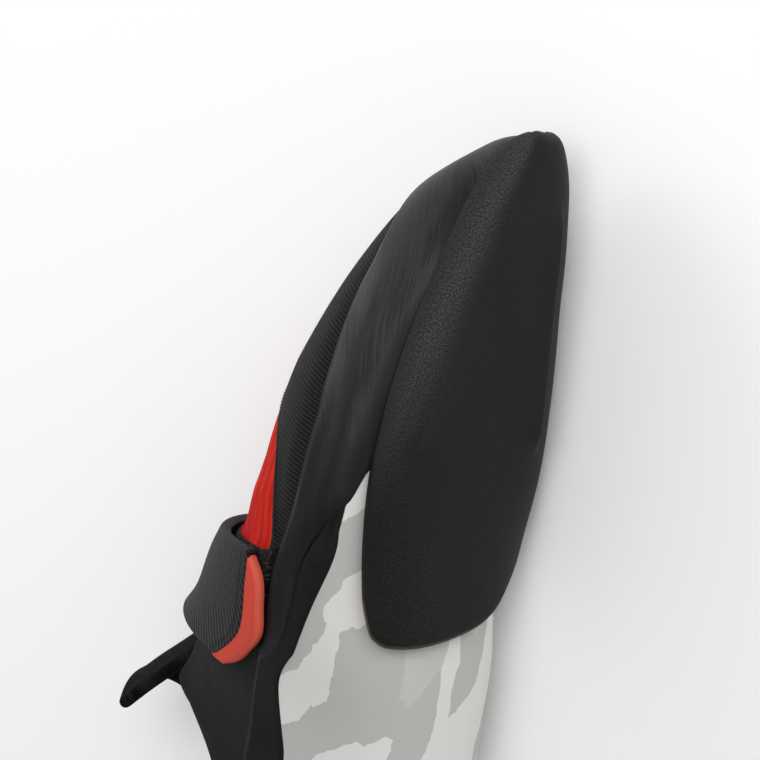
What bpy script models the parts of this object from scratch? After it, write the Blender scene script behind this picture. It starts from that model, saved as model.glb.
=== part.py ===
"""Climbing shoe for the right foot, lying on its inner side. Metres, +Z up, toe along +Y.

Every piece is cut from one surface, the last, which is a stack of sections along the foot.
A point on it has two coordinates. The share s runs from the top of the heel (0) under the foot
to the tip of the toe (1). The share v runs round each section: 0 top, 0.25 outer side,
0.5 bottom, 0.75 inner side, 1 top again.
"""
import bpy
import bmesh
import numpy as np
from mathutils import Vector

MM = 0.001

# Driving sizes of the last
SHOE_LENGTH = 250 * MM
BALL_WIDTH = 84 * MM
INSTEP_HEIGHT = 75 * MM
HEEL_HEIGHT = 80 * MM

# Walls and gaps, measured outward from the last's surface
FIT_GAP = 0.4 * MM
SOCK_WALL = 2.0 * MM
PANEL_TOP = -0.3 * MM
PANEL_WALL = 1.6 * MM
RAND_WALL = 2.0 * MM
COVER_WALL = 1.7 * MM
SOLE_WALL = 4.0 * MM
SOLE_EDGE_DROP = 1.3 * MM
LOOP_WALL = 1.8 * MM
STRAP_LIFT = 2.7 * MM
STRAP_WALL = 3.4 * MM
TAB_LIFT = 3.0 * MM
TAB_WALL = 3.0 * MM
TONGUE_WALL = 2.0 * MM

# Sections of the last. along is a share of SHOE_LENGTH, lift of HEEL_HEIGHT, centre, half and
# ridge of BALL_WIDTH, tall of INSTEP_HEIGHT. lean is in degrees from upright, belly is the share
# of the height at which a section is widest, low and top are the exponents of its two curves.
SECTION_COLUMNS = ("along", "lift", "lean", "centre", "half", "tall", "belly", "low", "top", "ridge")
SECTIONS = (
    (0.0320, 1.000, 108.0, 0.000, 0.262, 0.680, 0.45, 2.2, 2.4, 0.000),
    (0.0180, 0.775, 81.4, 0.000, 0.298, 0.760, 0.45, 2.2, 2.4, 0.000),
    (0.0080, 0.575, 63.0, 0.000, 0.327, 0.924, 0.44, 2.2, 2.4, 0.000),
    (0.0100, 0.388, 50.2, 0.000, 0.345, 1.107, 0.42, 2.2, 2.4, 0.000),
    (0.0300, 0.194, 38.8, 0.000, 0.357, 1.296, 0.40, 2.3, 2.4, 0.000),
    (0.0720, 0.075, 30.0, 0.000, 0.363, 1.413, 0.38, 2.4, 2.4, 0.000),
    (0.1360, 0.031, 22.0, 0.000, 0.363, 1.427, 0.36, 2.5, 2.4, 0.000),
    (0.2080, 0.025, 15.0, 0.006, 0.369, 1.347, 0.34, 2.5, 2.3, -0.012),
    (0.2840, 0.025, 9.5, 0.018, 0.393, 1.253, 0.33, 2.5, 2.2, -0.024),
    (0.3600, 0.035, 6.0, 0.042, 0.435, 1.107, 0.32, 2.5, 2.1, -0.036),
    (0.4320, 0.069, 4.0, 0.068, 0.458, 1.000, 0.31, 2.6, 2.0, -0.048),
    (0.5040, 0.090, 2.0, 0.071, 0.482, 0.867, 0.30, 2.8, 2.0, -0.060),
    (0.5800, 0.092, 0.0, 0.055, 0.502, 0.787, 0.29, 3.0, 2.0, -0.065),
    (0.6640, 0.084, 0.0, 0.035, 0.479, 0.753, 0.28, 3.0, 2.1, -0.060),
    (0.7360, 0.080, 0.0, 0.007, 0.431, 0.707, 0.28, 3.0, 2.1, -0.060),
    (0.7920, 0.080, 0.0, -0.021, 0.381, 0.653, 0.28, 3.0, 2.1, -0.054),
    (0.8520, 0.080, 0.0, -0.064, 0.321, 0.580, 0.29, 3.0, 2.1, -0.048),
    (0.9000, 0.085, 0.0, -0.106, 0.260, 0.487, 0.30, 2.8, 2.1, -0.036),
    (0.9380, 0.098, 0.0, -0.149, 0.193, 0.340, 0.30, 2.6, 2.1, -0.024),
    (0.9660, 0.118, 0.0, -0.189, 0.124, 0.197, 0.32, 2.3, 2.0, -0.012),
    (0.9820, 0.143, 0.0, -0.221, 0.060, 0.093, 0.36, 2.0, 2.0, -0.006),
    (0.9880, 0.169, 0.0, -0.238, 0.000, 0.000, 0.40, 2.0, 2.0, 0.000),
)

# Lines on the last where one piece ends and the next begins, as shares v of each section.
# throat_out and throat_in are the two edges of the collar and throat, knit is the top of the
# rubber, step the low edge of the toe wings, camo the top of the arch cover, sole the edge of
# the outsole and flat the start of its flat tread.
EDGE_COLUMNS = ("s", "throat_out", "throat_in", "knit", "step", "camo", "sole", "flat")
EDGES = (
    (0.000, 0.155, -0.155, 0.300, 0.310, 0.320, 0.400, 0.420),
    (0.080, 0.142, -0.142, 0.255, 0.285, 0.310, 0.400, 0.420),
    (0.130, 0.128, -0.128, 0.240, 0.270, 0.300, 0.395, 0.420),
    (0.210, 0.108, -0.108, 0.225, 0.252, 0.280, 0.390, 0.415),
    (0.300, 0.099, -0.099, 0.215, 0.242, 0.270, 0.385, 0.410),
    (0.400, 0.095, -0.095, 0.211, 0.236, 0.260, 0.380, 0.405),
    (0.457, 0.093, -0.093, 0.214, 0.232, 0.246, 0.378, 0.400),
    (0.490, 0.096, -0.094, 0.220, 0.238, 0.262, 0.376, 0.395),
    (0.520, 0.102, -0.096, 0.228, 0.245, 0.282, 0.373, 0.391),
    (0.552, 0.125, -0.100, 0.238, 0.252, 0.302, 0.370, 0.388),
    (0.582, 0.205, -0.108, 0.245, 0.262, 0.322, 0.369, 0.386),
    (0.633, 0.195, -0.104, 0.238, 0.318, 0.341, 0.366, 0.382),
    (0.681, 0.173, -0.090, 0.231, 0.300, 0.354, 0.362, 0.378),
    (0.700, 0.155, -0.078, 0.230, 0.290, 0.353, 0.361, 0.377),
    (0.724, 0.122, -0.055, 0.230, 0.285, 0.350, 0.360, 0.379),
    (0.747, 0.075, -0.020, 0.223, 0.280, 0.347, 0.358, 0.382),
    (0.765, 0.030, 0.030, 0.221, 0.275, 0.345, 0.357, 0.384),
    (0.830, 0.030, 0.030, 0.202, 0.270, 0.340, 0.354, 0.388),
    (0.870, 0.030, 0.030, 0.190, 0.255, 0.338, 0.353, 0.393),
    (0.921, 0.030, 0.030, 0.108, 0.235, 0.325, 0.341, 0.394),
    (0.930, 0.030, 0.030, 0.060, 0.228, 0.318, 0.337, 0.395),
    (0.940, 0.030, 0.030, 0.030, 0.220, 0.310, 0.332, 0.396),
    (0.985, 0.030, 0.030, 0.030, 0.180, 0.260, 0.290, 0.400),
    (1.000, 0.030, 0.030, 0.030, 0.180, 0.260, 0.290, 0.400),
)

# Rows of the shared grid: where each stretch along the shoe starts and how many rows it holds
ROW_RUNS = (
    (0.000, 3), (0.080, 2), (0.130, 7), (0.300, 4), (0.400, 3), (0.457, 1), (0.490, 1), (0.520, 3),
    (0.582, 2), (0.633, 2), (0.681, 1), (0.700, 1), (0.724, 1), (0.747, 1), (0.765, 5), (0.870, 2),
    (0.905, 1), (0.921, 1), (0.930, 1), (0.940, 3), (0.985, 1), (0.994, 1),
)

# Columns of the shared grid from the outer throat edge to the centre line, with cells in each
COLUMN_RUNS = (
    ("throat_out", 5), ("knit", 2), ("step", 2), ("camo", 1), ("sole", 1), ("flat", 3),
)

# Where pieces end along the shoe
HEEL_BAND = (0.080, 0.130)
WING_END = 0.490
WING_START = 0.633
CUP_START = 0.700
SOLE_REAR = 0.520
SOLE_FRONT = 0.985
THROAT_REAR = 0.582
THROAT_FRONT = 0.765
CAP_START = 0.830

# Top of the toe cap on the inner side, where it crosses the ridge of the toe
CAP_COLUMNS = ("s", "knit_in")
CAP_IN = (
    (0.830, 0.202),
    (0.870, 0.172),
    (0.905, 0.120),
    (0.921, 0.080),
    (0.930, 0.050),
    (0.940, 0.015),
    (0.955, -0.030),
    (1.000, -0.030),
)

# The sole's inner edge stands further up and out than its outer edge: the shoe rests on it
SOLE_INNER_REACH = 0.035
SOLE_INNER_FADE = 0.10
SOLE_INNER_EDGE = 0.6 * MM
FLAT_INNER_PART = 0.8
LINE_GAP = 0.004

# The sole's rear edge runs forward towards the inner side
REAR_SLANT = 0.19
REAR_SLANT_FROM = 0.43
REAR_SLANT_REACH = 0.10

# The tread is flattened between these two rows, wherever it faces nearly straight down
TREAD_FROM = 0.700
TREAD_TO = 0.930
TREAD_LEVEL = -0.4 * MM
TREAD_NORMAL = 0.97

# Strap and its tab: shares v of the two ends at shares s along the shoe
STRAP_COLUMNS = ("s", "free", "tab", "anchor")
STRAP_ROWS = (
    (0.453, 0.171, 0.178, -0.205),
    (0.461, 0.176, 0.196, -0.206),
    (0.480, 0.186, 0.216, -0.207),
    (0.504, 0.199, 0.232, -0.208),
    (0.520, 0.206, 0.234, -0.209),
    (0.540, 0.210, 0.234, -0.210),
    (0.556, 0.210, 0.232, -0.210),
    (0.571, 0.208, 0.226, -0.210),
    (0.588, 0.204, 0.208, -0.210),
)
STRAP_STEPS = 16
TAB_STEPS = 2

# Loop fabric: shares v of its two ends at shares s along the shoe
LOOP_COLUMNS = ("s", "low", "high")
LOOP_ROWS = (
    (0.470, 0.212, 0.060),
    (0.490, 0.217, 0.045),
    (0.520, 0.225, 0.035),
    (0.555, 0.236, 0.030),
    (0.582, 0.242, 0.030),
    (0.594, 0.240, 0.040),
)
LOOP_STEPS = 8

# Tongue: along and lift of its centre line, half width and depth as shares of SHOE_LENGTH,
# INSTEP_HEIGHT, BALL_WIDTH and BALL_WIDTH. lean is how far each section tips back, in degrees.
# The lift is counted from the instep's own height over the floor, a share of HEEL_HEIGHT.
TONGUE_FOOT = 0.07
TONGUE_COLUMNS = ("along", "lift", "half", "deep", "lean")
TONGUE_ROWS = (
    (0.4845, 0.9045, 0.200, 0.090, 3.0),
    (0.4230, 0.9664, 0.195, 0.097, 4.0),
    (0.3910, 1.0080, 0.193, 0.100, 6.0),
    (0.3640, 1.0880, 0.186, 0.102, 16.0),
    (0.3460, 1.2053, 0.176, 0.100, 34.0),
    (0.3200, 1.3280, 0.190, 0.105, 46.0),
    (0.2920, 1.4507, 0.215, 0.115, 52.0),
    (0.2640, 1.5627, 0.226, 0.120, 54.0),
)
TONGUE_STEPS = 8
TONGUE_CURVE = 2.2

# Colours, roughness and density in kg per cubic metre
LOOKS = {
    "knit": ((0.022, 0.022, 0.024), 0.90, 420),
    "gloss_red": ((0.62, 0.045, 0.022), 0.30, 950),
    "lining": ((0.014, 0.014, 0.015), 0.85, 420),
    "cup_rubber": ((0.040, 0.041, 0.046), 0.42, 1120),
    "band_rubber": ((0.030, 0.028, 0.029), 0.50, 1120),
    "camo_print": ((0.50, 0.52, 0.50), 0.70, 700),
    "sole_rubber": ((0.032, 0.028, 0.026), 0.70, 1120),
    "loop_fabric": ((0.020, 0.020, 0.021), 0.98, 350),
    "webbing": ((0.060, 0.060, 0.063), 0.80, 600),
    "tab_red": ((0.72, 0.10, 0.06), 0.45, 950),
}

ARC_SAMPLES = 400
NORMAL_STEP = 0.002
TIP_MARGIN = 0.004
WELD = 1e-7


def bend(knots, values, at):
    """Natural cubic spline through (knots, values), read at the places in at."""
    gaps = np.diff(knots)
    count = len(knots)
    matrix = np.zeros((count, count))
    right = np.zeros(count)
    matrix[0, 0] = 1
    matrix[-1, -1] = 1
    for k in range(1, count - 1):
        matrix[k, k - 1:k + 2] = gaps[k - 1], 2 * (gaps[k - 1] + gaps[k]), gaps[k]
        right[k] = 6 * ((values[k + 1] - values[k]) / gaps[k] - (values[k] - values[k - 1]) / gaps[k - 1])
    curve = np.linalg.solve(matrix, right)
    k = np.clip(np.searchsorted(knots, at, side="right") - 1, 0, count - 2)
    before = at - knots[k]
    after = knots[k + 1] - at
    gap = gaps[k]
    cubic = (curve[k] * after ** 3 + curve[k + 1] * before ** 3) / (6 * gap)
    lines = (values[k] / gap - curve[k] * gap / 6) * after + (values[k + 1] / gap - curve[k + 1] * gap / 6) * before
    return cubic + lines


def scaled_sections():
    """The section table in metres and radians, and the share s of each of its rows."""
    table = dict(zip(SECTION_COLUMNS, np.array(SECTIONS).T))
    table["along"] = table["along"] * SHOE_LENGTH
    table["lift"] = table["lift"] * HEEL_HEIGHT
    table["tall"] = table["tall"] * INSTEP_HEIGHT
    for name in ("centre", "half", "ridge"):
        table[name] = table[name] * BALL_WIDTH
    table["lean"] = np.radians(table["lean"])
    steps = np.hypot(np.diff(table["along"]), np.diff(table["lift"]))
    shares = np.concatenate([[0], np.cumsum(steps)])
    return table, shares / shares[-1]


SECTION_TABLE, SECTION_SHARES = scaled_sections()
EXPONENTS = np.linspace(1.8, 4.2, 25)


def quarter_angles():
    """For each exponent, the angle at even steps of arc length along a superellipse quarter."""
    angle = np.linspace(0, np.pi / 2, ARC_SAMPLES)
    rows = []
    for exponent in EXPONENTS:
        x = np.sin(angle) ** (2 / exponent)
        z = np.cos(angle) ** (2 / exponent)
        length = np.concatenate([[0], np.cumsum(np.hypot(np.diff(x), np.diff(z)))])
        rows.append(np.interp(np.linspace(0, length[-1], ARC_SAMPLES), length, angle))
    return np.array(rows)


QUARTERS = quarter_angles()


def quarter_point(exponent, share):
    """Point of a superellipse quarter at a share of its arc: 0 on the axis, 1 at full width."""
    e = np.clip((exponent - EXPONENTS[0]) / (EXPONENTS[1] - EXPONENTS[0]), 0, len(EXPONENTS) - 1.001)
    i = e.astype(int)
    a = np.clip(share, 0, 1) * (ARC_SAMPLES - 1)
    j = np.minimum(a.astype(int), ARC_SAMPLES - 2)
    low = QUARTERS[i, j] * (1 - a + j) + QUARTERS[i, j + 1] * (a - j)
    high = QUARTERS[i + 1, j] * (1 - a + j) + QUARTERS[i + 1, j + 1] * (a - j)
    angle = low * (1 - e + i) + high * (e - i)
    return np.sin(angle) ** (2 / exponent), np.cos(angle) ** (2 / exponent)


def last_point(s, v):
    """Points of the last's surface at shares s along the shoe and v round the section."""
    s, v = np.broadcast_arrays(np.asarray(s, float), np.asarray(v, float) % 1.0)
    row = {name: bend(SECTION_SHARES, SECTION_TABLE[name], s) for name in SECTION_COLUMNS}
    half = np.maximum(row["half"], 0)
    tall = np.maximum(row["tall"], 0)
    side = np.where(v < 0.5, 1.0, -1.0)
    down = np.where(v < 0.5, v, 1 - v)
    above = down < 0.25
    share = np.where(above, down / 0.25, (0.5 - down) / 0.25)
    x, z = quarter_point(np.where(above, row["top"], row["low"]), share)
    belly = row["belly"]
    level = np.where(above, belly + z * (1 - belly), belly * (1 - z))
    rise = np.clip((level - belly) / (1 - belly), 0, 1)
    across = row["centre"] + side * half * x + row["ridge"] * rise ** 2
    along = row["along"] + level * tall * np.sin(row["lean"])
    height = row["lift"] + level * tall * np.cos(row["lean"])
    return np.stack([across, along, height], -1)


def outward(s, v):
    """Unit normals of the last's surface, pointing away from the foot."""
    s = np.clip(s, 0, 1 - TIP_MARGIN)
    along = last_point(s + NORMAL_STEP, v) - last_point(np.maximum(s - NORMAL_STEP, 0), v)
    around = last_point(s, v + NORMAL_STEP) - last_point(s, v - NORMAL_STEP)
    normal = np.cross(around, along)
    return normal / np.linalg.norm(normal, axis=-1, keepdims=True)


def column(table, names, name, at):
    """A table's column read at the places in at, straight between rows."""
    rows = np.array(table)
    return np.interp(at, rows[:, 0], rows[:, names.index(name)])


def run_values(runs, end):
    """Evenly spaced values over runs of (start, steps), closing with end."""
    starts = [run[0] for run in runs] + [end]
    values = []
    for k, run in enumerate(runs):
        values.extend(np.linspace(starts[k], starts[k + 1], run[1], endpoint=False))
    return np.array(values + [end])


ROWS = run_values(ROW_RUNS, 1.0)


def grid_shares():
    """Share v of every column at every row, and the column number of each named line."""
    index = {}
    count = 0
    outer = []
    for name, cells in COLUMN_RUNS:
        index[name] = count
        outer.append(column(EDGES, EDGE_COLUMNS, name, ROWS))
        count += cells
    index["centre"] = count
    outer.append(np.full(len(ROWS), 0.5))
    total = 2 * count
    for name in list(index):
        index[name + "_in"] = total - index[name]
    inner = [1 - line for line in outer[:-1]]
    inner[0] = 1 + column(EDGES, EDGE_COLUMNS, "throat_in", ROWS)
    inner[1] = 1 - np.where(ROWS < CAP_START, 1 - inner[1], column(CAP_IN, CAP_COLUMNS, "knit_in", ROWS))
    reach = SOLE_INNER_REACH * np.clip((1 - ROWS) / SOLE_INNER_FADE, 0, 1)
    inner[4] = inner[4] + reach
    inner[5] = inner[5] + reach * FLAT_INNER_PART
    inner[3] = np.maximum(inner[3], inner[4] + LINE_GAP)
    lines = np.array(outer + inner[::-1])
    places = [index[name] for name, _ in COLUMN_RUNS]
    places = places + [count] + [total - place for place in places[::-1]]
    shares = np.array([np.interp(np.arange(total + 1), places, lines[:, k]) for k in range(len(ROWS))])
    return shares, index


SHARES, LINE = grid_shares()


def row_at(share):
    """Number of the grid row at a share s."""
    return int(np.argmin(np.abs(ROWS - share)))


def surface(s, v):
    """Points and normals on a grid, with the pole at the toe pulled to one point."""
    s, v = np.broadcast_arrays(s, v)
    points = last_point(s, v)
    normals = outward(s, v)
    pole = s >= 1.0
    normals = np.where(pole[..., None], np.array([0.0, 1.0, 0.0]), normals)
    return points, normals


def shell(points, normals, cells, outer, inner, inset=0.0):
    """Thicken the chosen cells of a grid into one closed solid: vertices and faces."""
    keys = np.round(points / WELD).astype(np.int64).reshape(-1, 3)
    _, first, weld = np.unique(keys, axis=0, return_index=True, return_inverse=True)
    weld = weld.reshape(points.shape[:2])
    rows, cols = np.nonzero(cells)
    facets = []
    for i, j in zip(rows, cols):
        corners = weld[i, j], weld[i, j + 1], weld[i + 1, j + 1], weld[i + 1, j]
        for loop in ([corners[0], corners[1], corners[2]], [corners[0], corners[2], corners[3]]):
            if len(set(loop)) == 3:
                facets.append(loop)
    edges = {(loop[k], loop[(k + 1) % len(loop)]) for loop in facets for k in range(len(loop))}
    rim = [edge for edge in edges if (edge[1], edge[0]) not in edges]
    place = points.reshape(-1, 3)[first]
    normal = normals.reshape(-1, 3)[first]
    shift = np.zeros_like(place)
    for a, b in rim:
        along = (place[b] - place[a]) / np.linalg.norm(place[b] - place[a])
        inward = np.cross(normal[a] + normal[b], along)
        shift[a] += inward / np.linalg.norm(inward)
        shift[b] += inward / np.linalg.norm(inward)
    size = np.linalg.norm(shift, axis=1, keepdims=True)
    place = place + inset * shift / np.maximum(size, 1e-9)
    reach_out = np.broadcast_to(outer, points.shape[:2]).reshape(-1)[first][:, None]
    reach_in = np.broadcast_to(inner, points.shape[:2]).reshape(-1)[first][:, None]
    count = len(place)
    vertices = np.concatenate([place + reach_out * normal, place + reach_in * normal])
    faces = list(facets)
    faces += [[p + count for p in loop[::-1]] for loop in facets]
    faces += [[b, a, a + count, b + count] for a, b in rim]
    used = sorted({p for face in faces for p in face})
    number = {p: k for k, p in enumerate(used)}
    return vertices[used], [[number[p] for p in face] for face in faces]


def between(first, last, low, high):
    """Cells of the shared grid between two rows and two columns."""
    cells = np.zeros((len(ROWS) - 1, SHARES.shape[1] - 1), bool)
    cells[row_at(first):row_at(last), low:high] = True
    return cells


def on_grid(cells, outer, inner, inset=FIT_GAP / 2):
    """A piece made of cells of the shared grid."""
    points, normals = surface(ROWS[:, None], SHARES)
    return shell(points, normals, cells, outer, inner, inset)


def make_upper():
    cells = np.ones((len(ROWS) - 1, SHARES.shape[1] - 1), bool)
    return on_grid(cells, 0.0, -SOCK_WALL, 0.0)


def make_toe_rand():
    cells = between(CUP_START, 1.0, LINE["knit"], LINE["knit_in"])
    cells |= between(WING_START, CUP_START, LINE["knit"], LINE["camo"])
    cells |= between(WING_START, CUP_START, LINE["camo_in"], LINE["knit_in"])
    cells |= between(WING_END, WING_START, LINE["knit"], LINE["step"])
    cells |= between(WING_END, WING_START, LINE["step_in"], LINE["knit_in"])
    return on_grid(cells, FIT_GAP + RAND_WALL, FIT_GAP)


def make_side_rand():
    cells = between(WING_END, WING_START, LINE["step"], LINE["camo"])
    cells |= between(WING_END, WING_START, LINE["camo_in"], LINE["step_in"])
    cells |= between(HEEL_BAND[0], WING_END, LINE["knit"], LINE["camo"])
    cells |= between(HEEL_BAND[0], WING_END, LINE["camo_in"], LINE["knit_in"])
    cells |= between(HEEL_BAND[0], HEEL_BAND[1], LINE["knit"], LINE["knit_in"])
    return on_grid(cells, FIT_GAP + RAND_WALL, FIT_GAP)


def make_arch_cover():
    cells = between(HEEL_BAND[1], CUP_START, LINE["camo"], LINE["camo_in"])
    return on_grid(cells, FIT_GAP + COVER_WALL, FIT_GAP)


def make_outsole():
    first = row_at(SOLE_REAR)
    last = row_at(SOLE_FRONT)
    s = np.repeat(ROWS[first:last + 1, None], SHARES.shape[1], 1)
    v = SHARES[first:last + 1]
    fade = np.clip(1 - (s - SOLE_REAR) / REAR_SLANT_REACH, 0, 1)
    s = s + REAR_SLANT * np.maximum(v - REAR_SLANT_FROM, 0) * fade
    points, normals = surface(s, v)
    cells = np.zeros((last - first, v.shape[1] - 1), bool)
    cells[:, LINE["sole"]:LINE["sole_in"]] = True
    under = 2 * FIT_GAP + RAND_WALL
    outer = np.full(v.shape, under + SOLE_WALL)
    outer[:, LINE["sole"]] -= SOLE_EDGE_DROP
    outer[:, LINE["sole_in"]] += SOLE_INNER_EDGE
    outer[0] = under + SOLE_WALL - SOLE_EDGE_DROP
    outer[-1] = under + SOLE_WALL - SOLE_EDGE_DROP
    flat = (s >= TREAD_FROM) & (s <= TREAD_TO) & (normals[..., 2] < -TREAD_NORMAL)
    outer = np.where(flat, (points[..., 2] - TREAD_LEVEL) / -normals[..., 2], outer)
    return shell(points, normals, cells, outer, under)


def make_instep_panel():
    first = row_at(THROAT_REAR)
    last = row_at(THROAT_FRONT)
    s = ROWS[first:last + 1, None]
    edge_out = SHARES[first:last + 1, 0]
    edge_in = SHARES[first:last + 1, -1] - 1
    v = np.linspace(edge_out, edge_in, 8).T
    points, normals = surface(s, v)
    cells = np.ones((len(s) - 1, v.shape[1] - 1), bool)
    return shell(points, -normals, cells, PANEL_WALL - PANEL_TOP, -PANEL_TOP, FIT_GAP)


def band(table, names, high, low, steps, outer, inner, inset=0.0):
    """A strip over the last: rows at the table's shares s, columns between two of its lines."""
    rows = np.array(table)
    s = rows[:, :1]
    start = rows[:, names.index(high)]
    end = rows[:, names.index(low)]
    v = np.linspace(start, end, steps + 1).T
    points, normals = surface(s, v)
    cells = np.ones((len(rows) - 1, steps), bool)
    return shell(points, -normals, cells, -inner, -outer, inset)


def make_strap():
    """The webbing, which comes down to the upper at its anchor."""
    share = np.linspace(0, 1, STRAP_STEPS + 1)
    drop = np.clip((share - 0.75) / 0.2, 0, 1) * (STRAP_LIFT - FIT_GAP)
    inner = STRAP_LIFT - drop
    return band(STRAP_ROWS, STRAP_COLUMNS, "free", "anchor", STRAP_STEPS, inner + STRAP_WALL, inner)


def make_strap_tab():
    return band(STRAP_ROWS, STRAP_COLUMNS, "tab", "free", TAB_STEPS, TAB_LIFT + TAB_WALL, TAB_LIFT, FIT_GAP)


def make_loop_base():
    outer = FIT_GAP + LOOP_WALL
    return band(LOOP_ROWS, LOOP_COLUMNS, "low", "high", LOOP_STEPS, outer, FIT_GAP)


def make_tongue():
    """A curved sheet: each section drops away from its centre line as the width grows."""
    table = dict(zip(TONGUE_COLUMNS, np.array(TONGUE_ROWS).T))
    lean = np.radians(table["lean"])[:, None]
    share = np.linspace(-1, 1, TONGUE_STEPS + 1)
    drop = table["deep"][:, None] * BALL_WIDTH * np.abs(share) ** TONGUE_CURVE
    across = table["half"][:, None] * BALL_WIDTH * share
    along = table["along"][:, None] * SHOE_LENGTH - drop * np.sin(lean)
    lift = TONGUE_FOOT * HEEL_HEIGHT + table["lift"][:, None] * INSTEP_HEIGHT
    height = lift - drop * np.cos(lean)
    points = np.stack([across, along, height], -1)
    normals = np.cross(np.gradient(points, axis=1), np.gradient(points, axis=0))
    normals = normals / np.linalg.norm(normals, axis=-1, keepdims=True)
    cells = np.ones((points.shape[0] - 1, points.shape[1] - 1), bool)
    return shell(points, normals, cells, TONGUE_WALL, 0.0)


PIECES = (
    ("upper", make_upper, "knit"),
    ("instep_panel", make_instep_panel, "gloss_red"),
    ("tongue", make_tongue, "lining"),
    ("toe_rand", make_toe_rand, "cup_rubber"),
    ("side_rand", make_side_rand, "band_rubber"),
    ("arch_cover", make_arch_cover, "camo_print"),
    ("outsole", make_outsole, "sole_rubber"),
    ("loop_base", make_loop_base, "loop_fabric"),
    ("strap", make_strap, "webbing"),
    ("strap_tab", make_strap_tab, "tab_red"),
)


def lay_on_side(points):
    """Turn the shoe so that its outer side faces up and its sole faces +X."""
    return np.stack([-points[:, 2], points[:, 1], points[:, 0]], -1)


def moments(vertices, faces):
    """Volume and first moment of a closed solid, from fans of triangles."""
    corners = [(f[0], f[k], f[k + 1]) for f in faces for k in range(1, len(f) - 1)]
    a, b, c = (vertices[[corner[k] for corner in corners]] for k in range(3))
    volume = np.einsum("ij,ij->i", a, np.cross(b, c)) / 6
    return volume.sum(), ((a + b + c) / 4 * volume[:, None]).sum(0)


def resting_turn(points, centre):
    """Rotation that sets the shoe down on the hull face under its centre of mass."""
    mesh = bmesh.new()
    for point in points:
        mesh.verts.new(point)
    bmesh.ops.convex_hull(mesh, input=mesh.verts)
    bmesh.ops.triangulate(mesh, faces=mesh.faces)
    best = np.zeros(3)
    for face in mesh.faces:
        a, b, c = (np.array(vertex.co) for vertex in face.verts)
        normal = np.cross(b - a, c - a)
        normal = normal / max(np.linalg.norm(normal), WELD ** 2)
        normal = normal * np.sign(np.dot(normal, a - centre))
        foot = centre + normal * np.dot(a - centre, normal)
        turns = [np.dot(np.cross(q - p, foot - p), np.cross(b - a, c - a)) for p, q in ((a, b), (b, c), (c, a))]
        if min(turns) >= 0 and normal[2] < best[2]:
            best = normal
    mesh.free()
    return np.array(Vector(best).rotation_difference(Vector((0, 0, -1))).to_matrix())


def add_object(name, vertices, faces, slot):
    colour, roughness, _ = LOOKS[slot]
    material = bpy.data.materials.new(slot)
    material.use_nodes = True
    shader = material.node_tree.nodes["Principled BSDF"]
    shader.inputs["Base Color"].default_value = (*colour, 1)
    shader.inputs["Roughness"].default_value = roughness
    shader.inputs["Metallic"].default_value = 0.0
    mesh = bpy.data.meshes.new(name)
    mesh.from_pydata(vertices.tolist(), [], faces)
    mesh.materials.append(material)
    item = bpy.data.objects.new(name, mesh)
    bpy.context.scene.collection.objects.link(item)


def main():
    for item in list(bpy.data.objects):
        bpy.data.objects.remove(item, do_unlink=True)
    solids = []
    mass = 0.0
    moment = np.zeros(3)
    for name, make, slot in PIECES:
        vertices, faces = make()
        vertices = lay_on_side(vertices)
        volume, first = moments(vertices, faces)
        mass += volume * LOOKS[slot][2]
        moment += first * LOOKS[slot][2]
        solids.append((name, vertices, faces, slot))
        print(name, "volume cm3", round(volume * 1e6, 1), "triangles", sum(len(f) - 2 for f in faces))
    cloud = np.concatenate([vertices for _, vertices, _, _ in solids])
    turn = resting_turn(cloud, moment / mass)
    cloud = cloud @ turn.T
    low = cloud.min(0)
    high = cloud.max(0)
    shift = np.array([(low[0] + high[0]) / 2, (low[1] + high[1]) / 2, low[2]])
    print("mass kg", round(mass, 3))
    print("turn", turn.tolist())
    print("shift", shift.tolist())
    print("size mm", ((high - low) / MM).round(1).tolist())
    for name, vertices, faces, slot in solids:
        add_object(name, vertices @ turn.T - shift, faces, slot)


main()
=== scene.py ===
# %% [markdown]
# # A climbing shoe, dressed over its solids
#
# The solids of this shoe are already packed: they carry its sizes, its weight and its collision.
# Here each of them gets a finer skin, worked out from the same form, and a finish made of shader
# nodes. A climbing shoe is built over a *last*, the wooden or plastic foot that gives it its
# shape, so the script first rebuilds the surface of that last and then lays every piece on it.

import bmesh
import bpy
import numpy as np
from mathutils import Matrix, Vector


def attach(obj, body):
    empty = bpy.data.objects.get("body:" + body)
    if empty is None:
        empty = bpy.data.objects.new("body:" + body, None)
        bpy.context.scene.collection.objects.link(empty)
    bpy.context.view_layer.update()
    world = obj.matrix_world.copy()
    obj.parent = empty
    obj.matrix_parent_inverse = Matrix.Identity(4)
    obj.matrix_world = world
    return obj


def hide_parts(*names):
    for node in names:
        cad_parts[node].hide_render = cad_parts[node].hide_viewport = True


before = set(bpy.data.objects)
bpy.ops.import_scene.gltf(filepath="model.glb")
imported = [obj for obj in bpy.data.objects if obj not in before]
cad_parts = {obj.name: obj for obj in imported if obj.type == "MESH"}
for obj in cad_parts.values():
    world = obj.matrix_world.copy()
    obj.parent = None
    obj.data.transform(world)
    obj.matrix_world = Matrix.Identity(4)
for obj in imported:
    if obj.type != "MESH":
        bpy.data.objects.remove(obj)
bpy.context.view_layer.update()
MM = 0.001
print("nodes:", sorted(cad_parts))

# %% [markdown]
# ## Sizes
#
# The same sizes and tables as in the solids: the last's sections from the heel to the toe, and
# the lines where one piece ends and the next begins. A section is one row, given in shares of the
# shoe's length, ball width, instep height and heel height, so the whole shoe follows these four.

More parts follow.
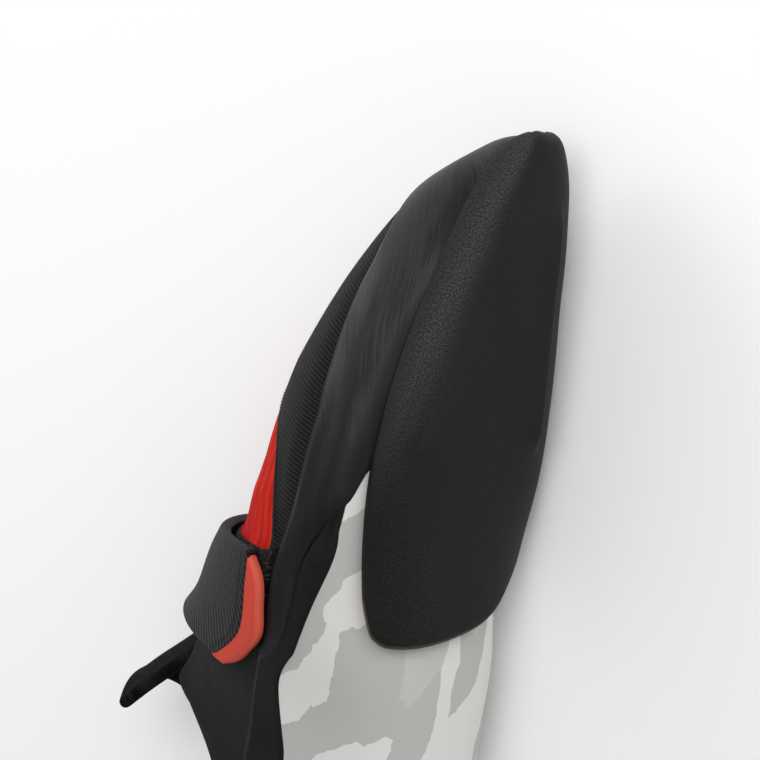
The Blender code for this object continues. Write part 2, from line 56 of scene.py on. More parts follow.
# %% Sizes and tables of the last
SHOE_LENGTH = 250 * MM
BALL_WIDTH = 84 * MM
INSTEP_HEIGHT = 75 * MM
HEEL_HEIGHT = 80 * MM
SECTION_COLUMNS = ("along", "lift", "lean", "centre", "half", "tall", "belly", "low", "top", "ridge")
SECTIONS = (
    (0.0320, 1.000, 108.0, 0.000, 0.262, 0.680, 0.45, 2.2, 2.4, 0.000),
    (0.0180, 0.775, 81.4, 0.000, 0.298, 0.760, 0.45, 2.2, 2.4, 0.000),
    (0.0080, 0.575, 63.0, 0.000, 0.327, 0.924, 0.44, 2.2, 2.4, 0.000),
    (0.0100, 0.388, 50.2, 0.000, 0.345, 1.107, 0.42, 2.2, 2.4, 0.000),
    (0.0300, 0.194, 38.8, 0.000, 0.357, 1.296, 0.40, 2.3, 2.4, 0.000),
    (0.0720, 0.075, 30.0, 0.000, 0.363, 1.413, 0.38, 2.4, 2.4, 0.000),
    (0.1360, 0.031, 22.0, 0.000, 0.363, 1.427, 0.36, 2.5, 2.4, 0.000),
    (0.2080, 0.025, 15.0, 0.006, 0.369, 1.347, 0.34, 2.5, 2.3, -0.012),
    (0.2840, 0.025, 9.5, 0.018, 0.393, 1.253, 0.33, 2.5, 2.2, -0.024),
    (0.3600, 0.035, 6.0, 0.042, 0.435, 1.107, 0.32, 2.5, 2.1, -0.036),
    (0.4320, 0.069, 4.0, 0.068, 0.458, 1.000, 0.31, 2.6, 2.0, -0.048),
    (0.5040, 0.090, 2.0, 0.071, 0.482, 0.867, 0.30, 2.8, 2.0, -0.060),
    (0.5800, 0.092, 0.0, 0.055, 0.502, 0.787, 0.29, 3.0, 2.0, -0.065),
    (0.6640, 0.084, 0.0, 0.035, 0.479, 0.753, 0.28, 3.0, 2.1, -0.060),
    (0.7360, 0.080, 0.0, 0.007, 0.431, 0.707, 0.28, 3.0, 2.1, -0.060),
    (0.7920, 0.080, 0.0, -0.021, 0.381, 0.653, 0.28, 3.0, 2.1, -0.054),
    (0.8520, 0.080, 0.0, -0.064, 0.321, 0.580, 0.29, 3.0, 2.1, -0.048),
    (0.9000, 0.085, 0.0, -0.106, 0.260, 0.487, 0.30, 2.8, 2.1, -0.036),
    (0.9380, 0.098, 0.0, -0.149, 0.193, 0.340, 0.30, 2.6, 2.1, -0.024),
    (0.9660, 0.118, 0.0, -0.189, 0.124, 0.197, 0.32, 2.3, 2.0, -0.012),
    (0.9820, 0.143, 0.0, -0.221, 0.060, 0.093, 0.36, 2.0, 2.0, -0.006),
    (0.9880, 0.169, 0.0, -0.238, 0.000, 0.000, 0.40, 2.0, 2.0, 0.000),
)

# Lines on the last where one piece ends and the next begins, as shares v of each section.
# throat_out and throat_in are the two edges of the collar and throat, knit is the top of the
# rubber, step the low edge of the toe wings, camo the top of the arch cover, sole the edge of
# the outsole and flat the start of its flat tread.
EDGE_COLUMNS = ("s", "throat_out", "throat_in", "knit", "step", "camo", "sole", "flat")
EDGES = (
    (0.000, 0.155, -0.155, 0.300, 0.310, 0.320, 0.400, 0.420),
    (0.080, 0.142, -0.142, 0.255, 0.285, 0.310, 0.400, 0.420),
    (0.130, 0.128, -0.128, 0.240, 0.270, 0.300, 0.395, 0.420),
    (0.210, 0.108, -0.108, 0.225, 0.252, 0.280, 0.390, 0.415),
    (0.300, 0.099, -0.099, 0.215, 0.242, 0.264, 0.385, 0.410),
    (0.400, 0.095, -0.095, 0.209, 0.230, 0.243, 0.380, 0.405),
    (0.457, 0.093, -0.093, 0.208, 0.226, 0.234, 0.378, 0.400),
    (0.490, 0.096, -0.094, 0.210, 0.234, 0.252, 0.376, 0.395),
    (0.520, 0.102, -0.096, 0.213, 0.243, 0.278, 0.373, 0.391),
    (0.552, 0.150, -0.100, 0.217, 0.251, 0.306, 0.370, 0.388),
    (0.568, 0.205, -0.104, 0.220, 0.256, 0.318, 0.370, 0.387),
    (0.582, 0.213, -0.108, 0.223, 0.262, 0.330, 0.369, 0.386),
    (0.600, 0.210, -0.107, 0.226, 0.282, 0.338, 0.368, 0.385),
    (0.633, 0.195, -0.104, 0.232, 0.318, 0.351, 0.366, 0.382),
    (0.681, 0.173, -0.090, 0.231, 0.300, 0.354, 0.362, 0.378),
    (0.700, 0.155, -0.078, 0.230, 0.290, 0.353, 0.361, 0.377),
    (0.724, 0.122, -0.055, 0.230, 0.285, 0.350, 0.360, 0.379),
    (0.747, 0.075, -0.020, 0.223, 0.280, 0.347, 0.358, 0.382),
    (0.765, 0.030, 0.030, 0.221, 0.275, 0.345, 0.357, 0.384),
    (0.830, 0.030, 0.030, 0.202, 0.270, 0.340, 0.354, 0.388),
    (0.870, 0.030, 0.030, 0.191, 0.255, 0.338, 0.353, 0.393),
    (0.905, 0.030, 0.030, 0.160, 0.245, 0.330, 0.346, 0.394),
    (0.925, 0.030, 0.030, 0.125, 0.235, 0.325, 0.341, 0.394),
    (0.942, 0.030, 0.030, 0.068, 0.220, 0.310, 0.332, 0.396),
    (0.957, 0.030, 0.030, 0.030, 0.210, 0.300, 0.322, 0.397),
    (0.985, 0.030, 0.030, 0.030, 0.180, 0.260, 0.290, 0.400),
    (1.000, 0.030, 0.030, 0.030, 0.180, 0.260, 0.290, 0.400),
)
CAP_START = 0.830
CAP_IN = (
    (0.830, 0.202),
    (0.870, 0.172),
    (0.905, 0.120),
    (0.921, 0.080),
    (0.930, 0.050),
    (0.940, 0.015),
    (0.955, -0.030),
    (1.000, -0.030),
)
print(len(SECTIONS), "sections,", len(EDGES), "rows of lines")

# %% [markdown]
# ## The last as a function
#
# A point of the last has two coordinates. The share s runs from the top of the heel under the
# foot to the tip of the toe, and the share v runs round the section: 0 on top, 0.25 on the outer
# side, 0.5 underneath and 0.75 on the inner side. Between the rows of the table a natural cubic
# spline fills in, and each section is made of superellipse quarters, which go from round to boxy
# with one exponent. Everything below takes whole arrays, so a grid of any fineness costs one call.

# %% Spline and sections
NORMAL_STEP = 0.002
TIP_MARGIN = 0.004
ARC_SAMPLES = 400
EXPONENTS = np.linspace(1.8, 4.2, 25)


def bend(knots, values, at):
    """Natural cubic spline through (knots, values), read at the places in at."""
    gaps = np.diff(knots)
    count = len(knots)
    matrix = np.zeros((count, count))
    right = np.zeros(count)
    matrix[0, 0] = 1
    matrix[-1, -1] = 1
    for k in range(1, count - 1):
        matrix[k, k - 1:k + 2] = gaps[k - 1], 2 * (gaps[k - 1] + gaps[k]), gaps[k]
        right[k] = 6 * ((values[k + 1] - values[k]) / gaps[k] - (values[k] - values[k - 1]) / gaps[k - 1])
    curve = np.linalg.solve(matrix, right)
    k = np.clip(np.searchsorted(knots, at, side="right") - 1, 0, count - 2)
    before = at - knots[k]
    after = knots[k + 1] - at
    gap = gaps[k]
    cubic = (curve[k] * after ** 3 + curve[k + 1] * before ** 3) / (6 * gap)
    low = (values[k] / gap - curve[k] * gap / 6) * after
    high = (values[k + 1] / gap - curve[k + 1] * gap / 6) * before
    return cubic + (low + high)


def scaled_sections():
    """The section table in metres and radians, and the share s of each of its rows."""
    table = dict(zip(SECTION_COLUMNS, np.array(SECTIONS).T))
    table["along"] = table["along"] * SHOE_LENGTH
    table["lift"] = table["lift"] * HEEL_HEIGHT
    table["tall"] = table["tall"] * INSTEP_HEIGHT
    for name in ("centre", "half", "ridge"):
        table[name] = table[name] * BALL_WIDTH
    table["lean"] = np.radians(table["lean"])
    steps = np.hypot(np.diff(table["along"]), np.diff(table["lift"]))
    shares = np.concatenate([[0], np.cumsum(steps)])
    return table, shares / shares[-1]


SECTION_TABLE, SECTION_SHARES = scaled_sections()


def quarter_table():
    """For each exponent, the angle at even steps of arc along sin(a)^(2/n), cos(a)^(2/n)."""
    angle = np.linspace(0, np.pi / 2, ARC_SAMPLES)
    rows = []
    for exponent in EXPONENTS:
        x = np.sin(angle) ** (2 / exponent)
        z = np.cos(angle) ** (2 / exponent)
        length = np.concatenate([[0], np.cumsum(np.hypot(np.diff(x), np.diff(z)))])
        rows.append(np.interp(np.linspace(0, length[-1], ARC_SAMPLES), length, angle))
    return np.array(rows)


QUARTERS = quarter_table()


def quarter_point(exponent, share):
    """Point of a superellipse quarter at a share of its arc: 0 on the axis, 1 at full width."""
    e = np.clip((exponent - EXPONENTS[0]) / (EXPONENTS[1] - EXPONENTS[0]), 0, len(EXPONENTS) - 1.001)
    i = e.astype(int)
    a = np.clip(share, 0, 1) * (ARC_SAMPLES - 1)
    j = np.minimum(a.astype(int), ARC_SAMPLES - 2)
    low = QUARTERS[i, j] * (1 - a + j) + QUARTERS[i, j + 1] * (a - j)
    high = QUARTERS[i + 1, j] * (1 - a + j) + QUARTERS[i + 1, j + 1] * (a - j)
    angle = low * (1 - e + i) + high * (e - i)
    return np.sin(angle) ** (2 / exponent), np.cos(angle) ** (2 / exponent)


def last_point(s, v):
    """Points of the last's surface at shares s along the shoe and v round the section."""
    s, v = np.broadcast_arrays(np.asarray(s, float), np.asarray(v, float) % 1.0)
    row = {name: bend(SECTION_SHARES, SECTION_TABLE[name], s) for name in SECTION_COLUMNS}
    half = np.maximum(row["half"], 0)
    tall = np.maximum(row["tall"], 0)
    side = np.where(v < 0.5, 1.0, -1.0)
    down = np.where(v < 0.5, v, 1 - v)
    above = down < 0.25
    share = np.where(above, down / 0.25, (0.5 - down) / 0.25)
    x, z = quarter_point(np.where(above, row["top"], row["low"]), share)
    belly = row["belly"]
    level = np.where(above, belly + z * (1 - belly), belly * (1 - z))
    rise = np.clip((level - belly) / (1 - belly), 0, 1)
    across = row["centre"] + side * half * x + row["ridge"] * rise ** 2
    along = row["along"] + level * tall * np.sin(row["lean"])
    height = row["lift"] + level * tall * np.cos(row["lean"])
    return np.stack([across, along, height], -1)


def outward(s, v):
    """Unit normals of the last's surface, pointing away from the foot."""
    s = np.clip(s, 0, 1 - TIP_MARGIN)
    along = last_point(s + NORMAL_STEP, v) - last_point(np.maximum(s - NORMAL_STEP, 0), v)
    around = last_point(s, v + NORMAL_STEP) - last_point(s, v - NORMAL_STEP)
    normal = np.cross(around, along)
    return normal / np.linalg.norm(normal, axis=-1, keepdims=True)


# %% [markdown]
# ## Lines and grids
#
# The table of lines has straight runs. On the real shoe a knife or a knitting machine leaves round
# corners, so each line is averaged over a short window. A piece is then a grid between two lines.

# %% Lines on the last
SOFT_CORNER = 0.012


def soft_table(s, rows, column, samples=9):
    """A table's column at shares s: the straight runs averaged over a window of SOFT_CORNER each way."""
    rows = np.array(rows)
    taps = np.asarray(s, float)[..., None] + SOFT_CORNER * np.linspace(-1, 1, samples)
    return np.interp(taps, rows[:, 0], rows[:, column]).mean(-1)


def line(name, s):
    """Share v of a named line on the outer side; the inner side has it at 1 minus this."""
    return soft_table(s, EDGES, EDGE_COLUMNS.index(name))


def rubber_top_in(s):
    """Top of the rubber on the inner side, which crosses the ridge of the toe near the tip."""
    share = np.clip((np.asarray(s, float) - CAP_START) / SOFT_CORNER + 0.5, 0, 1)
    return 1 - (1 - share) * line("knit", s) - share * soft_table(s, CAP_IN, 1)


def ease(x):
    """Smooth step from 0 to 1: 3x^2 - 2x^3."""
    x = np.clip(x, 0, 1)
    return x * x * (3 - 2 * x)


def lift_off(s, v, height):
    """Points at a height over the last, along its normal, which turns to straight ahead at the tip."""
    s, v = np.broadcast_arrays(np.asarray(s, float), np.asarray(v, float))
    ahead = ease((s - 0.985) / 0.015)[..., None]
    normal = outward(s, v) * (1 - ahead) + np.array([0.0, 1.0, 0.0]) * ahead
    normal /= np.linalg.norm(normal, axis=-1, keepdims=True)
    return last_point(s, v) + normal * np.broadcast_to(height, s.shape)[..., None]


def travel(points):
    """Distance in mm along both directions of a grid: across from the middle column, and along."""
    across = np.linalg.norm(np.diff(points, axis=1), axis=-1) / MM
    across = np.pad(np.cumsum(across, 1), ((0, 0), (1, 0)))
    along = np.linalg.norm(np.diff(points, axis=0), axis=-1) / MM
    along = np.pad(np.cumsum(along, 0), ((1, 0), (0, 0)))
    return across, along


def margins(points):
    """Distance in mm of every grid point from the first and last column and the first and last row."""
    across, along = travel(points)
    return across, across[:, -1:] - across, along, along[-1:] - along


def round_edge(near, reach):
    """Quarter ellipse from 0 at the border to 1 at reach mm inside it."""
    return np.sqrt(1 - (1 - np.clip(near / reach, 0, 1)) ** 2)


def stations(first, last, rows, cols):
    """A column of s from first to last, and a row of shares from 0 to 1."""
    return np.linspace(first, last, rows)[:, None], np.linspace(0, 1, cols)[None]


def between(start, end, share):
    """From start at share 0 to end at share 1: start + (end - start) share."""
    return start + (end - start) * share


print("ball line at s 0.58:", (last_point(0.58, 0.25) / MM).round(1), "mm")

# %% [markdown]
# ## From grids to solids
#
# Every piece is a thin solid: an outer grid, an inner grid and a rounded rim that joins them round
# the open border. The rim is half an ellipse, from the outer border over to the inner one, and it
# swells outward by a chosen length. Where the first and last columns meet, as at the toe, there is
# no border, and doubled points are merged. At the end the points are turned from the shoe's own
# upright frame to the one in which it lies on its inner side.

# %% Place of the shoe on the floor
TURN = np.array([
    [0.9950568675994873, -0.002207142533734441, -0.09928225725889206],
    [-0.002207142533734441, 0.9990144968032837, -0.0443301722407341],
    [0.09928225725889206, 0.0443301722407341, 0.994071364402771],
])
SHIFT = np.array([-0.05995708280122734, 0.12478725103492914, -0.03603842892358543])


def to_floor(points):
    """Shoe frame to floor frame: outer side up and sole towards +X, a small turn, then a shift."""
    laid = np.stack([-points[..., 2], points[..., 1], points[..., 0]], -1)
    return laid @ TURN.T - SHIFT


# %% Grids to meshes
MERGE_BELOW = 0.002 * MM


def border(rows, cols, close_row=None):
    """Grid places round the open border, in the order in which the outer faces pass them."""
    if close_row is None:
        last_i, last_j = rows - 1, cols - 1
        i = [np.zeros(last_j), np.arange(last_i), np.full(last_j, last_i), np.arange(last_i, 0, -1)]
        j = [np.arange(last_j), np.full(last_i, last_j), np.arange(last_j, 0, -1), np.zeros(last_i)]
    else:
        i = [np.arange(close_row, 0, -1), np.zeros(cols - 1), np.arange(close_row + 1)]
        j = [np.zeros(close_row), np.arange(cols - 1), np.full(close_row + 1, cols - 1)]
    return np.concatenate(i).astype(int), np.concatenate(j).astype(int)


def quads(grid):
    """Four-sided faces between neighbouring rows and columns of vertex numbers."""
    return np.stack([grid[:-1, :-1], grid[:-1, 1:], grid[1:, 1:], grid[1:, :-1]], -1).reshape(-1, 4)


def add_mesh(name, finish, points, faces, cloth, marks):
    """A mesh object from arrays of points, quads, one UV pair per point, and named point values."""
    mesh = bpy.data.meshes.new(name)
    mesh.vertices.add(len(points))
    mesh.vertices.foreach_set("co", to_floor(points).astype(np.float32).ravel())
    mesh.loops.add(faces.size)
    mesh.loops.foreach_set("vertex_index", faces.ravel().astype(np.int32))
    mesh.polygons.add(len(faces))
    mesh.polygons.foreach_set("loop_start", np.arange(0, faces.size, 4, dtype=np.int32))
    mesh.update(calc_edges=True)
    layer = mesh.uv_layers.new(name="cloth")
    layer.data.foreach_set("uv", cloth[faces.ravel()].astype(np.float32).ravel())
    for key, values in marks.items():
        mesh.attributes.new(key, "FLOAT", "POINT").data.foreach_set("value", values.astype(np.float32))
    work = bmesh.new()
    work.from_mesh(mesh)
    bmesh.ops.remove_doubles(work, verts=work.verts, dist=MERGE_BELOW)
    work.to_mesh(mesh)
    work.free()
    mesh.shade_smooth()
    mesh.materials.append(FINISHES[finish])
    item = bpy.data.objects.new(name, mesh)
    bpy.context.scene.collection.objects.link(item)
    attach(item, "root")
    print(name, len(mesh.polygons), "faces")
    return item


# %% Thin solids
RIM_STEPS = 4


def thin_solid(name, finish, outer, inner, roll, close_row=None, **marks):
    """Outer grid, inner grid and rim m + cos(t) h + sin(t) roll a: m is their middle, h half their gap."""
    rows, cols = outer.shape[:2]
    i, j = border(rows, cols, close_row)
    away = outer[i, j] - outer[np.clip(i, 1, rows - 2), np.clip(j, 1, cols - 2)]
    away /= np.maximum(np.linalg.norm(away, axis=1, keepdims=True), 1e-9)
    turn = np.linspace(0, np.pi, RIM_STEPS + 2)[1:-1, None, None]
    middle = (outer[i, j] + inner[i, j]) / 2
    half = (outer[i, j] - inner[i, j]) / 2
    rim = middle + np.cos(turn) * half + np.sin(turn) * roll * away
    count = rows * cols
    grid = np.arange(count).reshape(rows, cols)
    rings = 2 * count + np.arange(RIM_STEPS * len(i)).reshape(RIM_STEPS, -1)
    rings = np.concatenate([grid[i, j][None], rings, grid[i, j][None] + count])
    after = np.roll(rings, -1, axis=1)
    side = np.stack([after[:-1], rings[:-1], rings[1:], after[1:]], -1).reshape(-1, 4)
    faces = np.concatenate([quads(grid), quads(grid)[:, ::-1] + count, side])
    points = np.concatenate([outer.reshape(-1, 3), inner.reshape(-1, 3), rim.reshape(-1, 3)])
    across, along = travel(outer)
    middle_column = slice(cols // 2, cols // 2 + 1)
    cloth = np.stack([across - across[:, middle_column], along[:, middle_column] + 0 * across], -1)

    def spread(values):
        flat = values.reshape(count, -1)
        return np.concatenate([flat, flat, np.tile(values[i, j].reshape(len(i), -1), (RIM_STEPS, 1))])

    marks = {key: spread(np.broadcast_to(values, (rows, cols)))[:, 0] for key, values in marks.items()}
    return add_mesh(name, finish, points, faces, spread(cloth), marks)


def shell(name, finish, s, v, over, under, roll, close_row=None, **marks):
    """A thin solid over the last, from the height under to the height over."""
    return thin_solid(name, finish, lift_off(s, v, over), lift_off(s, v, under), roll, close_row, **marks)


def dress(item, node):
    """Hides the solid that the piece stands for."""
    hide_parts(node)


# %% Creases
def troughs(s, v, creases):
    """Sum of soft troughs: depth exp(-(d/width)^2), d the distance to a bent line, fading at its ends."""
    points = last_point(s, v)
    total = np.zeros(points.shape[:-1])
    for depth, width, path in creases:
        stops = last_point(*np.array(path).T)
        start, leg = stops[:-1], np.diff(stops, axis=0)
        offset = points[..., None, :] - start
        share = np.clip((offset * leg).sum(-1) / (leg ** 2).sum(-1), 0, 1)
        gap = np.linalg.norm(offset - share[..., None] * leg, axis=-1)
        place = (share + np.arange(len(leg))) / len(leg)
        nearest = gap.argmin(-1)[..., None]
        gap = np.take_along_axis(gap, nearest, -1)[..., 0]
        place = np.take_along_axis(place, nearest, -1)[..., 0]
        fade = np.sin(np.pi * np.clip(place, 0.06, 0.94)) ** 0.5
        total -= depth * MM * np.exp(-(gap / (width * MM)) ** 2) * fade
    return total


# %% [markdown]
# ## Finishes
#
# A finish is a material made of nodes. The patterns follow the surface: each piece has a UV map
# named *cloth*, measured in millimetres, so a rib of 1.2 mm is 1.2 mm wherever it lies. Uniform
# settings, such as sheen or coat, are set on the shader's own sockets. These few helpers keep the
# recipes short: one adds a node, the others add the kinds of node that every recipe needs. An
# output of a node knows the tree that it is in, its *id_data*, so few of them ask for the tree.

# %% Helpers for shader nodes
FINISHES = {}


def new_finish(name, roughness, **sockets):
    """Starts a material, sets the named sockets of its shader and gives its tree."""
    material = bpy.data.materials.new(name)
    material.use_nodes = True
    FINISHES[name] = material
    shader = material.node_tree.nodes["Principled BSDF"]
    shader.inputs["Roughness"].default_value = roughness
    for key, value in sockets.items():
        shader.inputs[key.replace("_", " ")].default_value = value
    return material.node_tree


def add_node(tree, kind, inputs, output=0, **settings):
    """Adds one node: inputs maps a socket's name or number to a value or to another node's output."""
    made = tree.nodes.new("ShaderNode" + kind)
    for key, value in settings.items():
        setattr(made, key, value)
    for key, value in inputs.items():
        if isinstance(value, bpy.types.NodeSocket):
            tree.links.new(value, made.inputs[key])
        else:
            made.inputs[key].default_value = value
    return made.outputs[output]


def calc(a, b=0.0, operation="MULTIPLY"):
    """One arithmetic step with one or two values."""
    return add_node(a.id_data, "Math", {0: a, 1: b}, operation=operation)


def vector(a, b, operation="MULTIPLY"):
    """One arithmetic step between two vectors."""
    return add_node(a.id_data, "VectorMath", {0: a, 1: b}, operation=operation)


def turned(place, angle):
    """The place, turned in the plane of the cloth by an angle in radians."""
    inputs = {"Vector": place, "Angle": angle}
    return add_node(place.id_data, "VectorRotate", inputs, rotation_type="Z_AXIS")


# %% Patterns and layers
def cloth_place(tree, stretch=(1, 1, 1), turn=0.0):
    """The cloth map in mm, turned by degrees and then multiplied by stretch."""
    uv = add_node(tree, "UVMap", {}, uv_map="cloth")
    return vector(turned(uv, np.radians(turn)), stretch)


def noise(place, scale, detail=2.0, rough=0.5):
    """Fractal noise from 0 to 1; a scale of 1 has features of about 1 mm."""
    inputs = {"Vector": place, "Scale": scale, "Detail": detail, "Roughness": rough}
    return add_node(place.id_data, "TexNoise", inputs)


def ramp(value, stops, interpolation="LINEAR"):
    """Colours or grey levels at places from 0 to 1, blended or with hard steps."""
    tree = value.id_data
    made = tree.nodes.new("ShaderNodeValToRGB")
    made.color_ramp.interpolation = interpolation
    while len(made.color_ramp.elements) < len(stops):
        made.color_ramp.elements.new(0.5)
    for element, (place, colour) in zip(made.color_ramp.elements, stops):
        element.position = place
        element.color = (*np.broadcast_to(colour, 3), 1)
    tree.links.new(value, made.inputs[0])
    return made.outputs[0]


def mix(share, low, high):
    """Colour between low and high by a share."""
    low, high = [(*end, 1) if isinstance(end, tuple) else end for end in (low, high)]
    return add_node(share.id_data, "Mix", {0: share, 6: low, 7: high}, output=2, data_type="RGBA")


def wave(place, pitch, wobble=0.0):
    """Ribs across the first coordinate: 0.5 + 0.5 sin(2 pi (x + wobble) / pitch)."""
    x = calc(add_node(place.id_data, "SeparateXYZ", {0: place}), wobble, "ADD")
    sine = calc(calc(x, 2 * np.pi / pitch), operation="SINE")
    return calc(calc(sine, 0.5), 0.5, "ADD")


def mark(tree, name):
    """A value that the mesh carries at its points."""
    return add_node(tree, "Attribute", {}, output=2, attribute_name=name)


def cover(colour, layers, roughness=None):
    """Links colour and roughness, and stacks bump layers: a height from 0 to 1 and a depth in mm."""
    tree = colour.id_data
    shader = tree.nodes["Principled BSDF"]
    tree.links.new(colour, shader.inputs["Base Color"])
    if roughness is not None:
        tree.links.new(roughness, shader.inputs["Roughness"])
    normal = {}
    for height, depth in layers:
        inputs = {"Strength": 1.0, "Distance": depth * MM, "Height": height, **normal}
        normal = {"Normal": add_node(tree, "Bump", inputs)}
    tree.links.new(normal["Normal"], shader.inputs["Normal"])


# %% [markdown]
# ### Knit
#
# The sock is a corded knit: fine diagonal ribs about 1.2 mm apart, black, with painted shade in the
# furrows and a grey painted highlight on the crests, where short hairs catch the light. A little
# sheen gives the pale edge that fibres have at a grazing angle. The tongue is a plainer weave of the
# same black, darkened further as painted shade inside the collar.

# %% Knit and tongue fabric
def knit_finish():
    """Colour from ribs times fibres, painted highlight on the crests and painted shade in the furrows; bump
    from ribs, rows of stitches and fibres.
    """
    tree = new_finish("knit", 0.85, Specular_IOR_Level=0.12, Sheen_Weight=0.04, Sheen_Roughness=0.5)
    wobble = calc(noise(cloth_place(tree), 0.25, 1), 0.7)
    ribs = wave(cloth_place(tree, turn=112), 1.25, wobble)
    fibre = noise(cloth_place(tree, (3, 3, 3)), 1.0, 3)
    stitches = wave(cloth_place(tree, turn=22), 0.9)
    rib_painted_highlight = calc(ribs, calc(calc(fibre, 1.1), 0.05, "ADD"))
    # Ramp from painted shade in the furrows up to a painted highlight on the crests.
    tones = [(0.0, (0.004, 0.004, 0.0045)), (0.40, (0.010, 0.010, 0.011)), (0.95, (0.050, 0.050, 0.053))]
    cover(ramp(rib_painted_highlight, tones), [(ribs, 0.32), (stitches, 0.06), (fibre, 0.12)])


def lining_finish():
    """A fine slanted weave, almost without shine, its black darkened further as painted shade inside the
    collar.
    """
    tree = new_finish("lining", 0.85, Specular_IOR_Level=0.06)
    weave = wave(cloth_place(tree, turn=15), 1.2)
    fibre = noise(cloth_place(tree), 3.0, 3)
    # Very dark tones: black weave plus painted shade inside the collar.
    tones = [(0.0, (0.003, 0.003, 0.0033)), (0.7, (0.014, 0.014, 0.015))]
    cover(ramp(calc(weave, fibre), tones), [(weave, 0.25), (fibre, 0.08)])


knit_finish()
lining_finish()

# %% [markdown]
# ### Rubber
#
# Three rubbers meet on this shoe. The toe cap is moulded and rubbed down, which leaves long soft
# streaks in its gloss; a bluish shine in streaks and clouds is painted into its colour as highlight,
# paler towards the toe. The band behind it is plainer and warmer. The sole is ground rough on its
# bevelled edge, with pale dust in the grain and a painted highlight along the ridge of the bevel,
# and matt and slightly brown on the tread. A thin line of glue shows along its rear edge.

# %% Rubber of the toe cap, the band and the sole
def cap_finish():
    """Streaks and slow clouds as painted highlight, a lit copy towards the toe and a shaded copy on the
    wings, mixed by a mark on the mesh.
    """
    tree = new_finish("cap_rubber", 0.42, Specular_IOR_Level=0.18)
    streak_and_highlight = noise(cloth_place(tree, (1.6, 0.05, 1), turn=-6), 1.0, 5, 0.65)
    cloud = noise(cloth_place(tree, (0.07, 0.03, 1)), 1.0, 2)
    grain = noise(cloth_place(tree), 3.2, 2)
    # Streaks and clouds lighten the colour as painted highlight.
    tone = calc(calc(streak_and_highlight, 0.5), calc(cloud, 0.5), "ADD")
    # Painted light: a lit copy of the rubber at the toe and a shaded copy on the wings.
    toe_lit_tones = [
        (0.36, (0.006, 0.006, 0.0072)), (0.50, (0.012, 0.012, 0.0142)), (0.66, (0.036, 0.036, 0.041)),
    ]
    wing_shaded_tones = [(0.36, (0.0036, 0.0036, 0.0048)), (0.68, (0.0105, 0.0105, 0.0135))]
    colour = mix(mark(tree, "toe"), ramp(tone, wing_shaded_tones), ramp(tone, toe_lit_tones))
    gloss = ramp(tone, [(0.35, 0.52), (0.7, 0.40)])
    cover(colour, [(streak_and_highlight, 0.05), (grain, 0.02)], gloss)


def band_finish():
    """Slow clouds in colour and gloss over a fine grain."""
    tree = new_finish("band_rubber", 0.5, Specular_IOR_Level=0.14)
    cloud = noise(cloth_place(tree, (0.10, 0.05, 1)), 1.0, 3)
    grain = noise(cloth_place(tree), 2.6, 3)
    tones = [
        (0.3, (0.0042, 0.0036, 0.0038)), (0.6, (0.0085, 0.0075, 0.0078)), (0.85, (0.017, 0.0155, 0.016)),
    ]
    gloss = ramp(cloud, [(0.3, 0.58), (0.8, 0.46)])
    cover(ramp(cloud, tones), [(grain, 0.04)], gloss)


def sole_finish():
    """Dust in the grain of the tread, pale specks on the ground edge, a painted highlight along its ridge,
    and glue at the rear.
    """
    tree = new_finish("sole_rubber", 0.62, Specular_IOR_Level=0.14)
    place = cloth_place(tree)
    haze = noise(cloth_place(tree, (0.05, 0.03, 1)), 1.0, 4, 0.6)
    grain = noise(place, 1.5, 4, 0.75)
    speck = noise(place, 1.9, 4, 0.8)
    edge = mark(tree, "edge")
    dust = calc(ramp(grain, [(0.42, 0.0), (0.70, 1.0)]), haze)
    tread = mix(dust, (0.0042, 0.0039, 0.0039), (0.032, 0.028, 0.026))
    specks = ramp(speck, [(0.44, 0.0), (0.62, 1.0)])
    ground_edge_and_ridge_highlight = mix(specks, (0.017, 0.0165, 0.0165), (0.118, 0.114, 0.113))
    # The edge mark blends in the pale specks of the ground edge and a painted highlight along its ridge.
    colour = mix(calc(edge, 0.62), tread, ground_edge_and_ridge_highlight)
    colour = mix(calc(mark(tree, "glue"), 0.8), colour, (0.105, 0.075, 0.048))
    gloss = ramp(edge, [(0.0, 0.60), (1.0, 0.78)])
    cover(colour, [(grain, 0.05), (speck, 0.03)], gloss)


cap_finish()
band_finish()
sole_finish()

# %% [markdown]
# ### Splinter camouflage
#
# Arch and heel wear a printed cover in grey and off-white. Splinter camouflage is a plain
# geometric family of patterns: straight-edged patches of a few tones. Cells measured with the
# Chebyshev distance have such straight edges, and a fine jagged shift of the map frays them.

# %% Camouflage
def camo_finish():
    """One of three tones for each cell of a stretched and frayed map, under a little soil."""
    tree = new_finish("camo_print", 0.55, Specular_IOR_Level=0.3)
    place = cloth_place(tree)
    fray = add_node(tree, "TexNoise", {"Vector": place, "Scale": 0.22, "Detail": 3.0}, output=1)
    shift = vector(vector(fray, (0.5, 0.5, 0.5), "SUBTRACT"), (2.6, 2.6, 0.0))
    stretched = vector(turned(vector(place, shift, "ADD"), 0.55), (0.085, 0.032, 1))
    cells = {"Vector": stretched, "Scale": 1.0, "Randomness": 1.0}
    patch = add_node(tree, "TexVoronoi", cells, output=1, distance="CHEBYCHEV", voronoi_dimensions="2D")
    tone = add_node(tree, "SeparateColor", {0: patch})
    tones = [(0.0, (0.435, 0.440, 0.422)), (0.52, (0.680, 0.664, 0.642)), (0.84, (0.490, 0.495, 0.477))]
    soil = calc(noise(cloth_place(tree, (0.2, 0.2, 1)), 1.0, 4), 0.14)
    colour = mix(soil, ramp(tone, tones, "CONSTANT"), (0.34, 0.33, 0.30))
    cover(colour, [(noise(place, 2.0, 3), 0.05)])


camo_finish()
